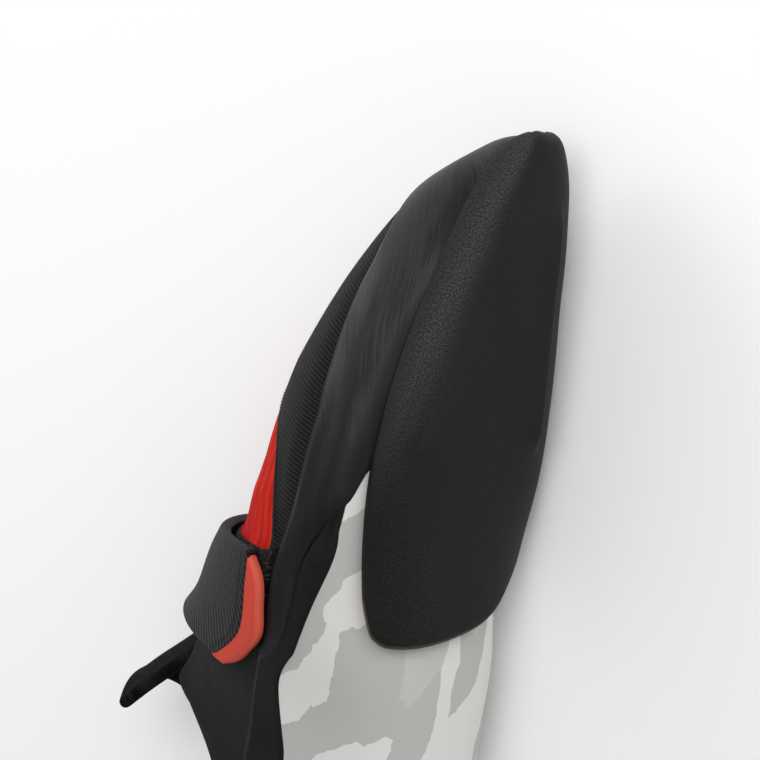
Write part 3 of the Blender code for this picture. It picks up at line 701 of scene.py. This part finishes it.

# %% [markdown]
# ### Coated panel, webbing, loops and tab
#
# The instep panel is a coated fabric whose red stays deep at a slant, so it has a thin clear coat
# and no gloss beneath; its glossy streaks are painted into the colour as paler highlight, and it is
# painted darker towards the strap as shade. The strap is ribbed webbing: ribs carry short slanted
# strokes where the yarns turn, with painted highlight on the crests and painted shade in the
# furrows. The loop fabric under the strap is a felt of tiny loops, all bump and almost no shine. The
# tab is a soft moulded plastic, paler along its bevel.

# %% Coated panel, webbing, loops and tab
def gloss_finish():
    """Red with paler streaks as painted highlight, and painted shade darker towards the strap, as a mark on
    the mesh says.
    """
    tree = new_finish("gloss_red", 0.5, Specular_IOR_Level=0.0, Coat_Weight=0.04, Coat_Roughness=0.15)
    streak_and_highlight = noise(cloth_place(tree, (0.5, 0.07, 1)), 1.0, 3)
    # Paler orange streaks: painted gloss highlight.
    tones = [(0.30, (0.36, 0.014, 0.010)), (0.52, (0.50, 0.022, 0.014)), (0.74, (0.66, 0.045, 0.024))]
    # Painted shade: a darker red towards the strap, by the low mark.
    colour = mix(mark(tree, "low"), ramp(streak_and_highlight, tones), (0.42, 0.008, 0.015))
    cover(colour, [(streak_and_highlight, 0.25), (noise(cloth_place(tree), 3.0, 2), 0.03)])


def webbing_finish():
    """Ribs times a mixture of slanted yarns and fibres, with painted highlight on the crests and painted
    shade in the furrows.
    """
    tree = new_finish("webbing", 0.62, Specular_IOR_Level=0.15, Sheen_Weight=0.03)
    rib_turn = -46
    wobble = calc(noise(cloth_place(tree), 0.3, 1), 0.4)
    ribs = wave(cloth_place(tree, turn=rib_turn), 1.4, wobble)
    yarn = wave(cloth_place(tree, turn=rib_turn + 52), 0.6)
    fibre = noise(cloth_place(tree), 4.0, 3)
    tone = calc(ribs, calc(calc(yarn, 0.45), calc(fibre, 0.8), "ADD"))
    # Ramp from painted shade in the rib furrows up to a painted highlight on the crests.
    tones = [(0.0, (0.004, 0.004, 0.0045)), (0.30, (0.010, 0.010, 0.0115)), (0.80, (0.066, 0.066, 0.070))]
    cover(ramp(tone, tones), [(ribs, 0.40), (yarn, 0.16), (fibre, 0.06)])


def loop_finish():
    """Cells for the loops, times a fine fuzz."""
    tree = new_finish("loop_fabric", 0.95, Specular_IOR_Level=0.08, Sheen_Weight=0.03)
    place = cloth_place(tree)
    loops = add_node(tree, "TexVoronoi", {"Vector": place, "Scale": 1.5, "Randomness": 1.0})
    fuzz = noise(place, 4.5, 3, 0.7)
    colour = ramp(calc(loops, fuzz), [(0.05, 0.004), (0.30, 0.010), (0.50, 0.085)])
    cover(colour, [(loops, 0.5), (fuzz, 0.35)])


def tab_finish():
    """Two close reds by the grain, and a paler red on the bevel."""
    tree = new_finish("tab_red", 0.5, Specular_IOR_Level=0.1)
    grain = noise(cloth_place(tree), 2.5, 3)
    face = mix(grain, (0.53, 0.048, 0.028), (0.60, 0.070, 0.044))
    colour = mix(calc(mark(tree, "edge"), 0.6), face, (0.64, 0.12, 0.075))
    cover(colour, [(grain, 0.03)])


gloss_finish()
webbing_finish()
loop_finish()
tab_finish()
print(len(FINISHES), "finishes")


# %% [markdown]
# ## The sock
#
# The upper is one knitted sock, closed under the foot. Its grid runs from the outer edge of the
# throat round under the foot to the inner edge. In front of the throat both edges are the same
# line, so the columns meet there and are merged. The collar has a thick rolled edge.

# %% Upper
ROLLED_EDGE = 0.9 * MM
ROLL_REACH = 3.0
SOCK_WALL = 2.0 * MM
THROAT_FRONT = 0.765
KNIT_RISE = (
    (0.42, 0.0), (0.50, 1.2), (0.60, 1.4), (0.68, 2.3), (0.76, 2.4), (0.83, 1.3), (0.90, 0.3), (1.00, 0.0),
)
SOCK_CREASES = (
    (0.5, 3.0, ((0.60, 0.215), (0.64, 0.205), (0.69, 0.190))),
    (0.4, 2.5, ((0.40, 0.13), (0.37, 0.16), (0.35, 0.20))),
    (0.4, 2.5, ((0.33, 0.12), (0.31, 0.15), (0.30, 0.20))),
    (0.4, 2.5, ((0.38, 0.87), (0.35, 0.84), (0.33, 0.80))),
)


def knit_rise(s, v):
    """How far the knit stands off the last in front of the collar, fading to 0 where the rubber starts."""
    places, heights = np.array(KNIT_RISE).T
    down = np.minimum(v % 1.0, 1 - v % 1.0)
    return np.interp(s, places, heights) * MM * ease((line("knit", s) + 0.006 - down) / 0.03)


def rolled(s):
    """Share of the rolled edge: 1 at the collar, 0 along the throat, where the panel is sewn in."""
    return ease((0.64 - s) / 0.06)


def make_upper():
    """v runs from throat_out(s) to 1 + throat_in(s); height = roll exp(-(d/reach)^2) near the collar."""
    s, share = stations(0, 1, rows=210, cols=170)
    v = between(line("throat_out", s), 1 + line("throat_in", s), share)
    left, right, rear, _ = margins(lift_off(s, v, 0.0))
    near = np.minimum(np.minimum(left, right), rear)
    rim = np.exp(-(near / ROLL_REACH) ** 2) * rolled(s)
    folds = troughs(s, v, SOCK_CREASES)
    over = ROLLED_EDGE * rim + folds + knit_rise(s, v)
    under = -SOCK_WALL - 0.3 * MM * rim + folds
    close_row = int(np.argmax(s[:, 0] > THROAT_FRONT + SOFT_CORNER))
    return shell("knit_upper", "knit", s, v, over, under, ROLLED_EDGE, close_row)


dress(make_upper(), "upper")

# %% [markdown]
# ## The instep panel and the tongue
#
# A glossy panel fills the throat in front of the strap. Lengthwise wrinkles come from pulling the
# strap tight. The tongue is a curved sheet with its own small table: each row is a section that
# drops away from the middle.

# %% Instep panel
PANEL_CREASES = (
    (0.5, 1.1, ((0.590, 0.150), (0.640, 0.135), (0.700, 0.095))),
    (0.6, 1.3, ((0.585, 0.110), (0.640, 0.100), (0.690, 0.070))),
    (0.5, 1.2, ((0.585, 0.070), (0.640, 0.060), (0.710, 0.040))),
    (0.5, 1.4, ((0.585, -0.010), (0.640, -0.010), (0.720, 0.010))),
    (0.4, 1.0, ((0.583, 0.175), (0.610, 0.170), (0.660, 0.150))),
)


def make_panel():
    """v runs between the two throat edges; the height is a low dome less the wrinkles."""
    s, share = stations(0.566, 0.758, rows=110, cols=70)
    v = between(line("throat_out", s), line("throat_in", s), share)
    folds = troughs(s, v % 1.0, PANEL_CREASES)
    rise = (0.9 + 2.0 * ease((s - 0.585) / 0.05)) * (0.35 + 0.65 * ease((0.752 - s) / 0.05))
    dome = rise * MM * np.sin(np.pi * share) ** 0.5
    over = 0.55 * MM + dome + folds[:, ::-1]
    # low: where the panel is painted darker towards the strap as shade.
    low = ease((0.655 - s) / 0.05) * ease((share[:, ::-1] - 0.05) / 0.4)
    return shell("gloss_panel", "gloss_red", s, v[:, ::-1], over, -1.9 * MM, 0.2 * MM, low=low)


dress(make_panel(), "instep_panel")

# %% Tongue
TONGUE_COLUMNS = ("along", "lift", "half", "deep", "lean")
TONGUE_FOOT = 0.07
TONGUE_WALL = 2.0
TONGUE_ROWS = (
    (0.4845, 0.9045, 0.200, 0.090, 3.0),
    (0.4230, 0.9664, 0.195, 0.097, 4.0),
    (0.3910, 1.0080, 0.193, 0.100, 6.0),
    (0.3640, 1.0880, 0.186, 0.102, 16.0),
    (0.3460, 1.2053, 0.176, 0.100, 34.0),
    (0.3200, 1.3280, 0.190, 0.105, 46.0),
    (0.2920, 1.4507, 0.215, 0.115, 52.0),
    (0.2640, 1.5627, 0.226, 0.120, 54.0),
)


def make_tongue():
    """Rows bend through the table; a section is (x, -deep |share|^2.2) tipped back by its lean."""
    table = np.array(TONGUE_ROWS)
    steps = np.hypot(np.diff(table[:, 0]) * SHOE_LENGTH, np.diff(table[:, 1]) * INSTEP_HEIGHT)
    place = np.concatenate([[0], np.cumsum(steps)])
    row = {name: bend(place, table[:, k], np.linspace(0, place[-1], 90))[:, None]
           for k, name in enumerate(TONGUE_COLUMNS)}
    share = np.linspace(-1, 1, 71)[None]
    drop = row["deep"] * BALL_WIDTH * np.abs(share) ** 2.2
    lean = np.radians(row["lean"])
    points = np.stack([row["half"] * BALL_WIDTH * share,
                       row["along"] * SHOE_LENGTH - drop * np.sin(lean),
                       TONGUE_FOOT * HEEL_HEIGHT + row["lift"] * INSTEP_HEIGHT - drop * np.cos(lean)], -1)
    normal = np.cross(np.gradient(points, axis=1), np.gradient(points, axis=0))
    normal /= np.linalg.norm(normal, axis=-1, keepdims=True)
    left, right, _, end = margins(points)
    rim = np.exp(-(np.minimum(np.minimum(left, right), end) / 2.6) ** 2)[..., None]
    outer = points + normal * (TONGUE_WALL + 1.5 * rim) * MM
    inner = points - normal * 0.5 * MM * rim
    return thin_solid("tongue_sheet", "lining", outer, inner, 1.7 * MM)


dress(make_tongue(), "tongue")

# %% [markdown]
# ## The rubber skin
#
# The toe cap is one moulded patch with a wing down each side. Its columns run from the outer top
# edge under the foot to the inner one, and each column starts where the wing's low edge lets it:
# far back at the top of the wing, and just behind the ball under the sole. The band behind it is a
# strip bent round the heel, and the printed cover lies under both.

# %% Toe cap
CLEARANCE = 0.3 * MM
CAP_CLOSED = 0.958
WING_EDGE = (
    (0.100, 0.452), (0.212, 0.455), (0.228, 0.472), (0.238, 0.492), (0.245, 0.515), (0.251, 0.540),
    (0.258, 0.565), (0.275, 0.595), (0.318, 0.628), (0.345, 0.645), (0.356, 0.664), (0.364, 0.678),
    (0.500, 0.680),
)


def wing_start(share):
    """First s of each column: where s is past the wing's low edge at the column's own v(s)."""
    s = np.linspace(0.42, 0.80, 1400)[:, None]
    v = between(line("knit", s), rubber_top_in(s), share)
    past = s - np.interp(np.minimum(v, 1 - v), *np.array(WING_EDGE).T)
    first = s[np.argmax(past > 0, axis=0), 0]
    window = np.ones(5) / 5
    return np.convolve(np.pad(first, 2, mode="edge"), window, mode="valid")


CAP_CREASES = (
    (0.9, 2.2, ((0.640, 0.330), (0.612, 0.292), (0.585, 0.258))),
    (0.7, 1.6, ((0.632, 0.318), (0.612, 0.312), (0.594, 0.300))),
    (0.5, 5.0, ((0.640, 0.275), (0.690, 0.262), (0.730, 0.250))),
    (-0.5, 4.0, ((0.575, 0.240), (0.640, 0.285), (0.700, 0.300))),
    (0.5, 6.0, ((0.760, 0.300), (0.830, 0.290), (0.900, 0.270))),
    (0.6, 2.0, ((0.640, 0.680), (0.612, 0.710), (0.585, 0.742))),
    (0.9, 8.0, ((0.870, 0.172), (0.910, 0.140), (0.940, 0.085))),
)


def make_cap():
    """s = start(b) + (1 - start(b)) u, v between the two top edges; the wall thins at its edges."""
    share = np.linspace(0, 1, 200)
    s = between(wing_start(share), 1, np.linspace(0, 1, 190)[:, None])
    v = between(line("knit", s), rubber_top_in(s), share)
    left, right, rear, _ = margins(lift_off(s, v, 0.0))
    closed = s > CAP_CLOSED + SOFT_CORNER
    near = np.where(closed, rear, np.minimum(np.minimum(left, right), rear))
    wall = 1.35 + 1.05 * ease(near / 2.6) - 0.5 * np.exp(-((1 - s) / 0.012) ** 2)
    over = wall * MM + troughs(s, v, CAP_CREASES)
    close_row = int(np.argmax(closed[:, 0]))
    # toe: share towards the tip, by which the cap finish paints a lit toe and shaded wings.
    toe = ease((s - 0.62) / 0.22)
    return shell("toe_cap", "cap_rubber", s, v, over, CLEARANCE, 0.45 * MM, close_row, toe=toe)


dress(make_cap(), "toe_rand")

# %% Side band
def both_sides(t, s, v):
    """Stops along the outer side, then their mirror images back along the inner side."""
    stops = np.stack([t, s, v], -1)
    return np.concatenate([stops, (stops * [-1, 1, -1] + [1, 0, 1])[::-1]])


def make_band():
    """A strip from the outer wing round the heel to the inner wing, between its top and low edges."""
    s_out = np.linspace(0.655, 0.13, 40)
    t_out = np.linspace(0, 0.42, 40)
    top_s = np.interp(s_out, [0.13, 0.655], [0.080, 0.655])
    top_v = np.where(top_s > 0.48, line("step", top_s) - 0.010, line("knit", top_s))
    low_v = line("camo", s_out) - 0.014 * ease((s_out - 0.60) / 0.04)
    top_v = np.minimum(top_v, low_v - 0.006)
    top, low = both_sides(t_out, top_s, top_v), both_sides(t_out, s_out, low_v)
    t = np.linspace(0, 1, 330)
    s_top, v_top, s_low, v_low = [soft_table(t, edge, k, 7)[:, None] for edge in (top, low) for k in (1, 2)]
    share = np.linspace(0, 1, 30)[None]
    s = s_top * (1 - share) + s_low * share
    v = v_top * (1 - share) + v_low * share
    left, right = margins(lift_off(s, v, 0.0))[:2]
    wall = 1.3 + 0.85 * ease(np.minimum(left, right) / 2.2)
    outer = lift_off(s, v, wall * MM + troughs(s, v, CAP_CREASES))
    inner = lift_off(s, v, CLEARANCE)
    return thin_solid("side_band", "band_rubber", outer[:, ::-1], inner[:, ::-1], 0.4 * MM)


dress(make_band(), "side_rand")

# %% Arch cover
def make_cover():
    """Between the camouflage line and its mirror line, tucked 1 % under the band and the sole."""
    s, share = stations(0.118, 0.715, rows=150, cols=120)
    start = line("camo", s) - 0.012
    v = start + (1 - 2 * start) * share
    return shell("arch_print", "camo_print", s, v, 1.55 * MM, 0.35 * MM, 0.3 * MM)


dress(make_cover(), "arch_cover")

# %% [markdown]
# ## The half sole
#
# A climbing sole is a 4 mm sheet glued under the toe and ball. It is ground to a bevel along its
# edge, wide and pale on the outer side of the toe and narrowing to nothing behind the ball, where
# the sheet simply ends in a rounded corner. The rear edge runs forward towards the inner side.

# %% Outsole
SOLE_FRONT = 0.9925
TREAD_LEVEL = -0.4 * MM
SOLE_UNDER = 2.7 * MM
SOLE_TOP = 6.8 * MM
BEVEL_SHARE = 0.14
REAR_EDGE = (
    (0.366, 0.556), (0.370, 0.536), (0.380, 0.520), (0.402, 0.514), (0.435, 0.512), (0.482, 0.517),
    (0.540, 0.529), (0.569, 0.541), (0.595, 0.562), (0.620, 0.587), (0.644, 0.617), (0.668, 0.660),
)


def fallen(near, reach):
    """How far a rounded border has fallen: 1 at the border, 0 from reach mm inward."""
    return 1 - round_edge(near, reach)


def make_sole():
    """Columns follow sole, flat, flat_in and sole_in; each starts at the rear edge's s for its v."""
    share = np.linspace(0, 1, 170)[None]
    run = np.linspace(0, 1, 220)[:, None] ** 0.9
    rows = np.array(REAR_EDGE)
    start = bend(rows[:, 0], rows[:, 1], 0.366 + 0.302 * share)
    last_row = SOLE_FRONT - 0.0045 * (1 - np.clip(share / 0.35, 0, 1)) ** 2
    s = between(start, last_row, run)
    reach = 0.035 * np.clip((1 - s) / 0.10, 0, 1)
    edge_out, flat_out = line("sole", s), line("flat", s)
    edge_in, flat_in = 1 - edge_out + reach, 1 - flat_out + 0.8 * reach
    to_flat = np.clip(share / BEVEL_SHARE, 0, 1)
    from_flat = np.clip((share - 1 + BEVEL_SHARE) / BEVEL_SHARE, 0, 1)
    middle = np.clip((share - BEVEL_SHARE) / (1 - 2 * BEVEL_SHARE), 0, 1)
    v = edge_out + (flat_out - edge_out) * to_flat
    v = v + (flat_in - flat_out) * middle + (edge_in - flat_in) * from_flat
    left, right, rear, front = margins(lift_off(s, v, SOLE_TOP))
    toe = ease((s - 0.62) / 0.14)
    bevel = share / BEVEL_SHARE
    slope = np.clip(1 - bevel / 1.5, 0, 1) ** 1.6
    drop = (1.3 + 2.5 * toe) * slope + 0.9 * fallen(right, 2.2)
    drop = np.maximum(drop, 3.8 * fallen(front, 7.0))
    drop = drop + 1.4 * fallen(rear, 2.2) + (1 - toe) * 0.9 * fallen(left, 1.2)
    height = SOLE_TOP - np.minimum(drop, 3.9) * MM
    down = -outward(s, v)[..., 2]
    level = (last_point(s, v)[..., 2] - TREAD_LEVEL) / np.maximum(down, 0.5)
    flat = ease((down - 0.955) / 0.03) * ease((s - 0.69) / 0.03) * ease((0.94 - s) / 0.03)
    flat = flat * ease(front / 6 - 1) * ease(right / 8)
    height = height * (1 - flat) + level * flat
    # Edge mark: the ground bevel, pale and real, with a painted highlight peaking along its ridge.
    ridge = np.exp(-((bevel - 0.9) / 0.5) ** 2)
    ridge = np.where(bevel < 0.9, 0.45 + 0.55 * ridge, ridge)
    ground_edge_and_ridge_highlight = np.maximum(ridge * ease((s - 0.62) / 0.2), ease((7.5 - front) / 4) * 0.6)
    glue = np.exp(-(rear / 0.45) ** 2) * (1 - toe)
    return shell("half_sole", "sole_rubber", s, v, height, SOLE_UNDER, 0.25 * MM, edge=ground_edge_and_ridge_highlight, glue=glue)


dress(make_sole(), "outsole")

# %% [markdown]
# ## Strap, loops and tab
#
# The strap is two layers of webbing that bridge the instep. Its free end carries a soft tab to
# pull on, and under it lies the loop half of the hook-and-loop fastening.

# %% Rows of the strap, the tab and the loop fabric
# Rows of s and v: for the strap its free and anchored ends, for the tab its covered and free ends,
# and for the loop fabric its outer and inner ends.
STRAP_ROWS = (
    (0.444, 0.168, -0.205),
    (0.452, 0.173, -0.205),
    (0.470, 0.184, -0.206),
    (0.492, 0.195, -0.207),
    (0.505, 0.198, -0.208),
    (0.525, 0.200, -0.209),
    (0.548, 0.200, -0.210),
    (0.565, 0.199, -0.210),
    (0.578, 0.196, -0.210),
)
TAB_ROWS = (
    (0.437, 0.170, 0.179),
    (0.447, 0.162, 0.190),
    (0.470, 0.163, 0.204),
    (0.492, 0.172, 0.2155),
    (0.506, 0.176, 0.218),
    (0.525, 0.178, 0.218),
    (0.548, 0.180, 0.217),
    (0.562, 0.180, 0.210),
    (0.573, 0.178, 0.198),
)
LOOP_ROWS = (
    (0.470, 0.204, 0.060),
    (0.490, 0.206, 0.045),
    (0.520, 0.209, 0.035),
    (0.555, 0.213, 0.030),
    (0.582, 0.219, 0.030),
    (0.592, 0.221, 0.040),
)


# %% Strap, tab and loop fabric
STRAP_WALL = 3.0
TAB_TOP = 5.8
TAB_UNDER = 3.0


def strip_grid(table, rows, cols, first, last):
    """Grid of s and v between two columns of a table, its rows bent smoothly through the table."""
    table = np.array(table).T
    s, share = stations(table[0, 0], table[0, -1], rows, cols)
    return s, between(bend(table[0], table[first], s), bend(table[0], table[last], s), share)


def strap_lift(s, share):
    """Height in mm of the strap's underside: 2.7, 1.7 more where it bridges, down to 0.4 at the anchor."""
    rear = np.clip((0.565 - s) / 0.12, 0, 1)
    bridge = np.sin(np.pi * np.clip(share / 0.7, 0, 1)) ** 2
    return 2.7 - ease((share - 0.75) / 0.2) * 2.3 + (1.7 + 2.4 * rear) * bridge


def make_strap():
    """Two layers of webbing over the bridge; behind the free end the front edge falls back a little."""
    s, v = strip_grid(STRAP_ROWS, 80, 200, 2, 1)
    share = np.linspace(1, 0, 200)[None]
    s = s - 0.007 * ease((0.19 - v) / 0.12) * ease((s - 0.47) / 0.10)
    near = np.minimum.reduce(margins(lift_off(s, v, 6.1 * MM)))
    lift = strap_lift(s, share)
    over = (lift + STRAP_WALL + 0.5 * round_edge(near, 0.9)) * MM
    return shell("webbing_strap", "webbing", s, v, over, lift * MM, 0.3 * MM)


def make_tab():
    """A plate from under the webbing's end to its round free end, its edge cut to a bevel."""
    s, v = strip_grid(TAB_ROWS, 90, 40, 1, 2)
    _, free, rear, front = margins(lift_off(s, v, TAB_TOP * MM))
    near = np.minimum(np.minimum(rear, front), free)
    bevel = 1 - np.clip(near / 1.4, 0, 1)
    over = (TAB_TOP - bevel) * MM
    edge = np.clip(bevel * 3, 0, 1)
    return shell("pull_tab", "tab_red", s, v, over, TAB_UNDER * MM, 0.3 * MM, edge=edge)


def make_loops():
    """Felt of loops 1.8 mm thick over the sock."""
    s, v = strip_grid(LOOP_ROWS, 80, 110, 2, 1)
    s = s - 0.013 * ease((s - 0.55) / 0.04) * (1 - 0.7 * ease((v - 0.195) / 0.03))
    near = np.minimum.reduce(margins(lift_off(s, v, 2.0 * MM)))
    fuzz = 0.12 * np.sin(s * 2600) * np.sin(v * 1900)
    over = (1.2 + round_edge(near, 1.4) + fuzz) * MM
    return shell("loop_pad", "loop_fabric", s, v, over, CLEARANCE, 0.5 * MM)


dress(make_strap(), "strap")
dress(make_tab(), "strap_tab")
dress(make_loops(), "loop_base")

# %% [markdown]
# ## Stitches
#
# Two seams show: an overlocked edge where the knit meets the glossy panel, which gives that edge
# its small teeth, and a line of thread across the end of the webbing. One stitch is a short arched
# tube with closed ends, and a whole seam is one array of them.

# %% Thread and seams
STITCH_RINGS = 9
STITCH_SIDES = 7


def seam(name, s, v, height, course, length, radius, slot):
    """Stitches: centre + t (length / 2) course + (1 - t^2) arch, t from -1 to 1, radius sqrt(1 - t^4)."""
    centre = lift_off(s, v, height * MM)
    up = outward(s, v)
    along = lift_off(s + 0.001, v, height * MM) - centre
    along /= np.linalg.norm(along, axis=-1, keepdims=True)
    across = np.cross(up, along)
    run = along * course[0] + across * course[1]
    run /= np.linalg.norm(run, axis=-1, keepdims=True)
    t = np.linspace(-1, 1, STITCH_RINGS)[None, :, None, None]
    turn = np.linspace(0, 2 * np.pi, STITCH_SIDES)[None, None, :, None]
    side = np.cross(up, run)[:, None, None]
    up, run, centre = up[:, None, None], run[:, None, None], centre[:, None, None]
    thick = radius * MM * np.sqrt(1 - t ** 4)
    spine = centre + run * t * length * MM / 2 + up * (1 - t ** 2) * radius * MM
    points = spine + thick * (np.cos(turn) * up + np.sin(turn) * side)
    grid = np.arange(STITCH_RINGS * STITCH_SIDES).reshape(STITCH_RINGS, -1)
    first = np.arange(len(points))[:, None, None] * grid.size
    faces = (quads(grid)[:, ::-1] + first).reshape(-1, 4)
    points = points.reshape(-1, 3)
    item = add_mesh(name, slot, points, faces, np.zeros((len(points), 2)), {})


def overlock(name, s, v, lean):
    """Stitches across a throat edge, on top of the knit and its rolled edge."""
    height = (knit_rise(s, v) + ROLLED_EDGE * rolled(s)) / MM
    seam(name, s, v, height, (lean, 1.0), 1.7, 0.17, "knit")


step = np.linspace(0.597, 0.752, 64)
overlock("overlock_outer", step, line("throat_out", step) + 0.003, 0.35)
overlock("overlock_inner", step, 1 + line("throat_in", step) - 0.003, -0.35)
step = np.linspace(0.450, 0.572, 24)
end_line = bend(*np.array(STRAP_ROWS).T[:2], step) - 0.010
seam("end_seam", step, end_line, strap_lift(step, 0.03) + 3.48, (1.0, 0.1), 1.5, 0.15, "webbing")

# %% [markdown]
# ## Floor, light and camera
#
# The floor is a pale sheet. A large soft light hangs over the shoe's outer side, a second one
# grazes the sole, and a bright even surround stands in for a white studio. The camera looks at the
# shoe as in the photograph: its three axes are given in the shoe's own frame and turned with it.

# %% Floor and surround
FLOOR_REACH = 6.0
new_finish("floor_paper", 0.8, Base_Color=(0.95, 0.95, 0.95, 1))
floor_mesh = bpy.data.meshes.new("floor")
corners = [(x * FLOOR_REACH, y * FLOOR_REACH, 0) for x, y in ((-1, -1), (1, -1), (1, 1), (-1, 1))]
floor_mesh.from_pydata(corners, [], [(0, 1, 2, 3)])
floor_mesh.materials.append(FINISHES["floor_paper"])
floor = bpy.data.objects.new("floor", floor_mesh)
bpy.context.scene.collection.objects.link(floor)

world = bpy.data.worlds.new("studio")
world.use_nodes = True
surround = world.node_tree.nodes["Background"]
surround.inputs["Color"].default_value = (1, 1, 1, 1)
surround.inputs["Strength"].default_value = 0.5
bpy.context.scene.world = world
bpy.context.scene.view_settings.view_transform = "Standard"

# %% Lights
SHOE_MIDDLE = Vector((0, 0.03, 0.04))


def direction(vector):
    """A direction of the shoe frame in the floor frame."""
    return to_floor(np.array(vector, float)) - to_floor(np.zeros(3))


def add_light(name, towards, distance, size, power):
    """A square area light that looks at the shoe's middle from a direction given in the floor frame."""
    lamp = bpy.data.lights.new(name, "AREA")
    lamp.shape = "SQUARE"
    lamp.size = size
    lamp.energy = power
    item = bpy.data.objects.new(name, lamp)
    away = Vector(towards).normalized()
    item.location = SHOE_MIDDLE + away * distance
    item.rotation_mode = "QUATERNION"
    item.rotation_quaternion = (-away).to_track_quat("-Z", "Y")
    bpy.context.scene.collection.objects.link(item)


add_light("key", (0.35, 0.25, 0.9), 1.1, 0.7, 5.2)
add_light("rim", (-0.9, 0.5, 0.45), 1.0, 0.6, 3.6)
add_light("graze", (0.9, 0.7, 0.35), 1.1, 0.5, 2.2)

# %% Camera
RIGHT = (-0.59733, 0.12187, -0.79268)
UP = (0.07334, 0.99254, 0.09733)
TOWARDS = (0.79864, 0.0, -0.60182)
TIP = np.array([-20.0, 249.0, 10.0]) * MM
TIP_PIXEL = (541, 135)
IMAGE = 760
PIXELS_PER_MM = 3.35
DISTANCE = 0.95
SENSOR = 36

lens = bpy.data.cameras.new("photo_view")
lens.sensor_width = SENSOR
focal = PIXELS_PER_MM / MM * DISTANCE
lens.lens = SENSOR * focal / IMAGE
camera = bpy.data.objects.new("photo_view", lens)
to_tip = Vector((TIP_PIXEL[0] - IMAGE / 2, IMAGE / 2 - TIP_PIXEL[1], -focal)).normalized()
swing = to_tip.rotation_difference(Vector((0, 0, -1))).to_matrix()
axes = np.array([direction(RIGHT), direction(UP), direction(TOWARDS)]).T @ np.array(swing)
place = to_floor(TIP + DISTANCE * np.array(TOWARDS))
camera.matrix_world = Matrix([[*axes[k], place[k]] for k in range(3)] + [[0, 0, 0, 1]])
bpy.context.scene.collection.objects.link(camera)
bpy.context.scene.camera = camera
print("camera at", place.round(3), "lens", round(lens.lens, 1), "mm")
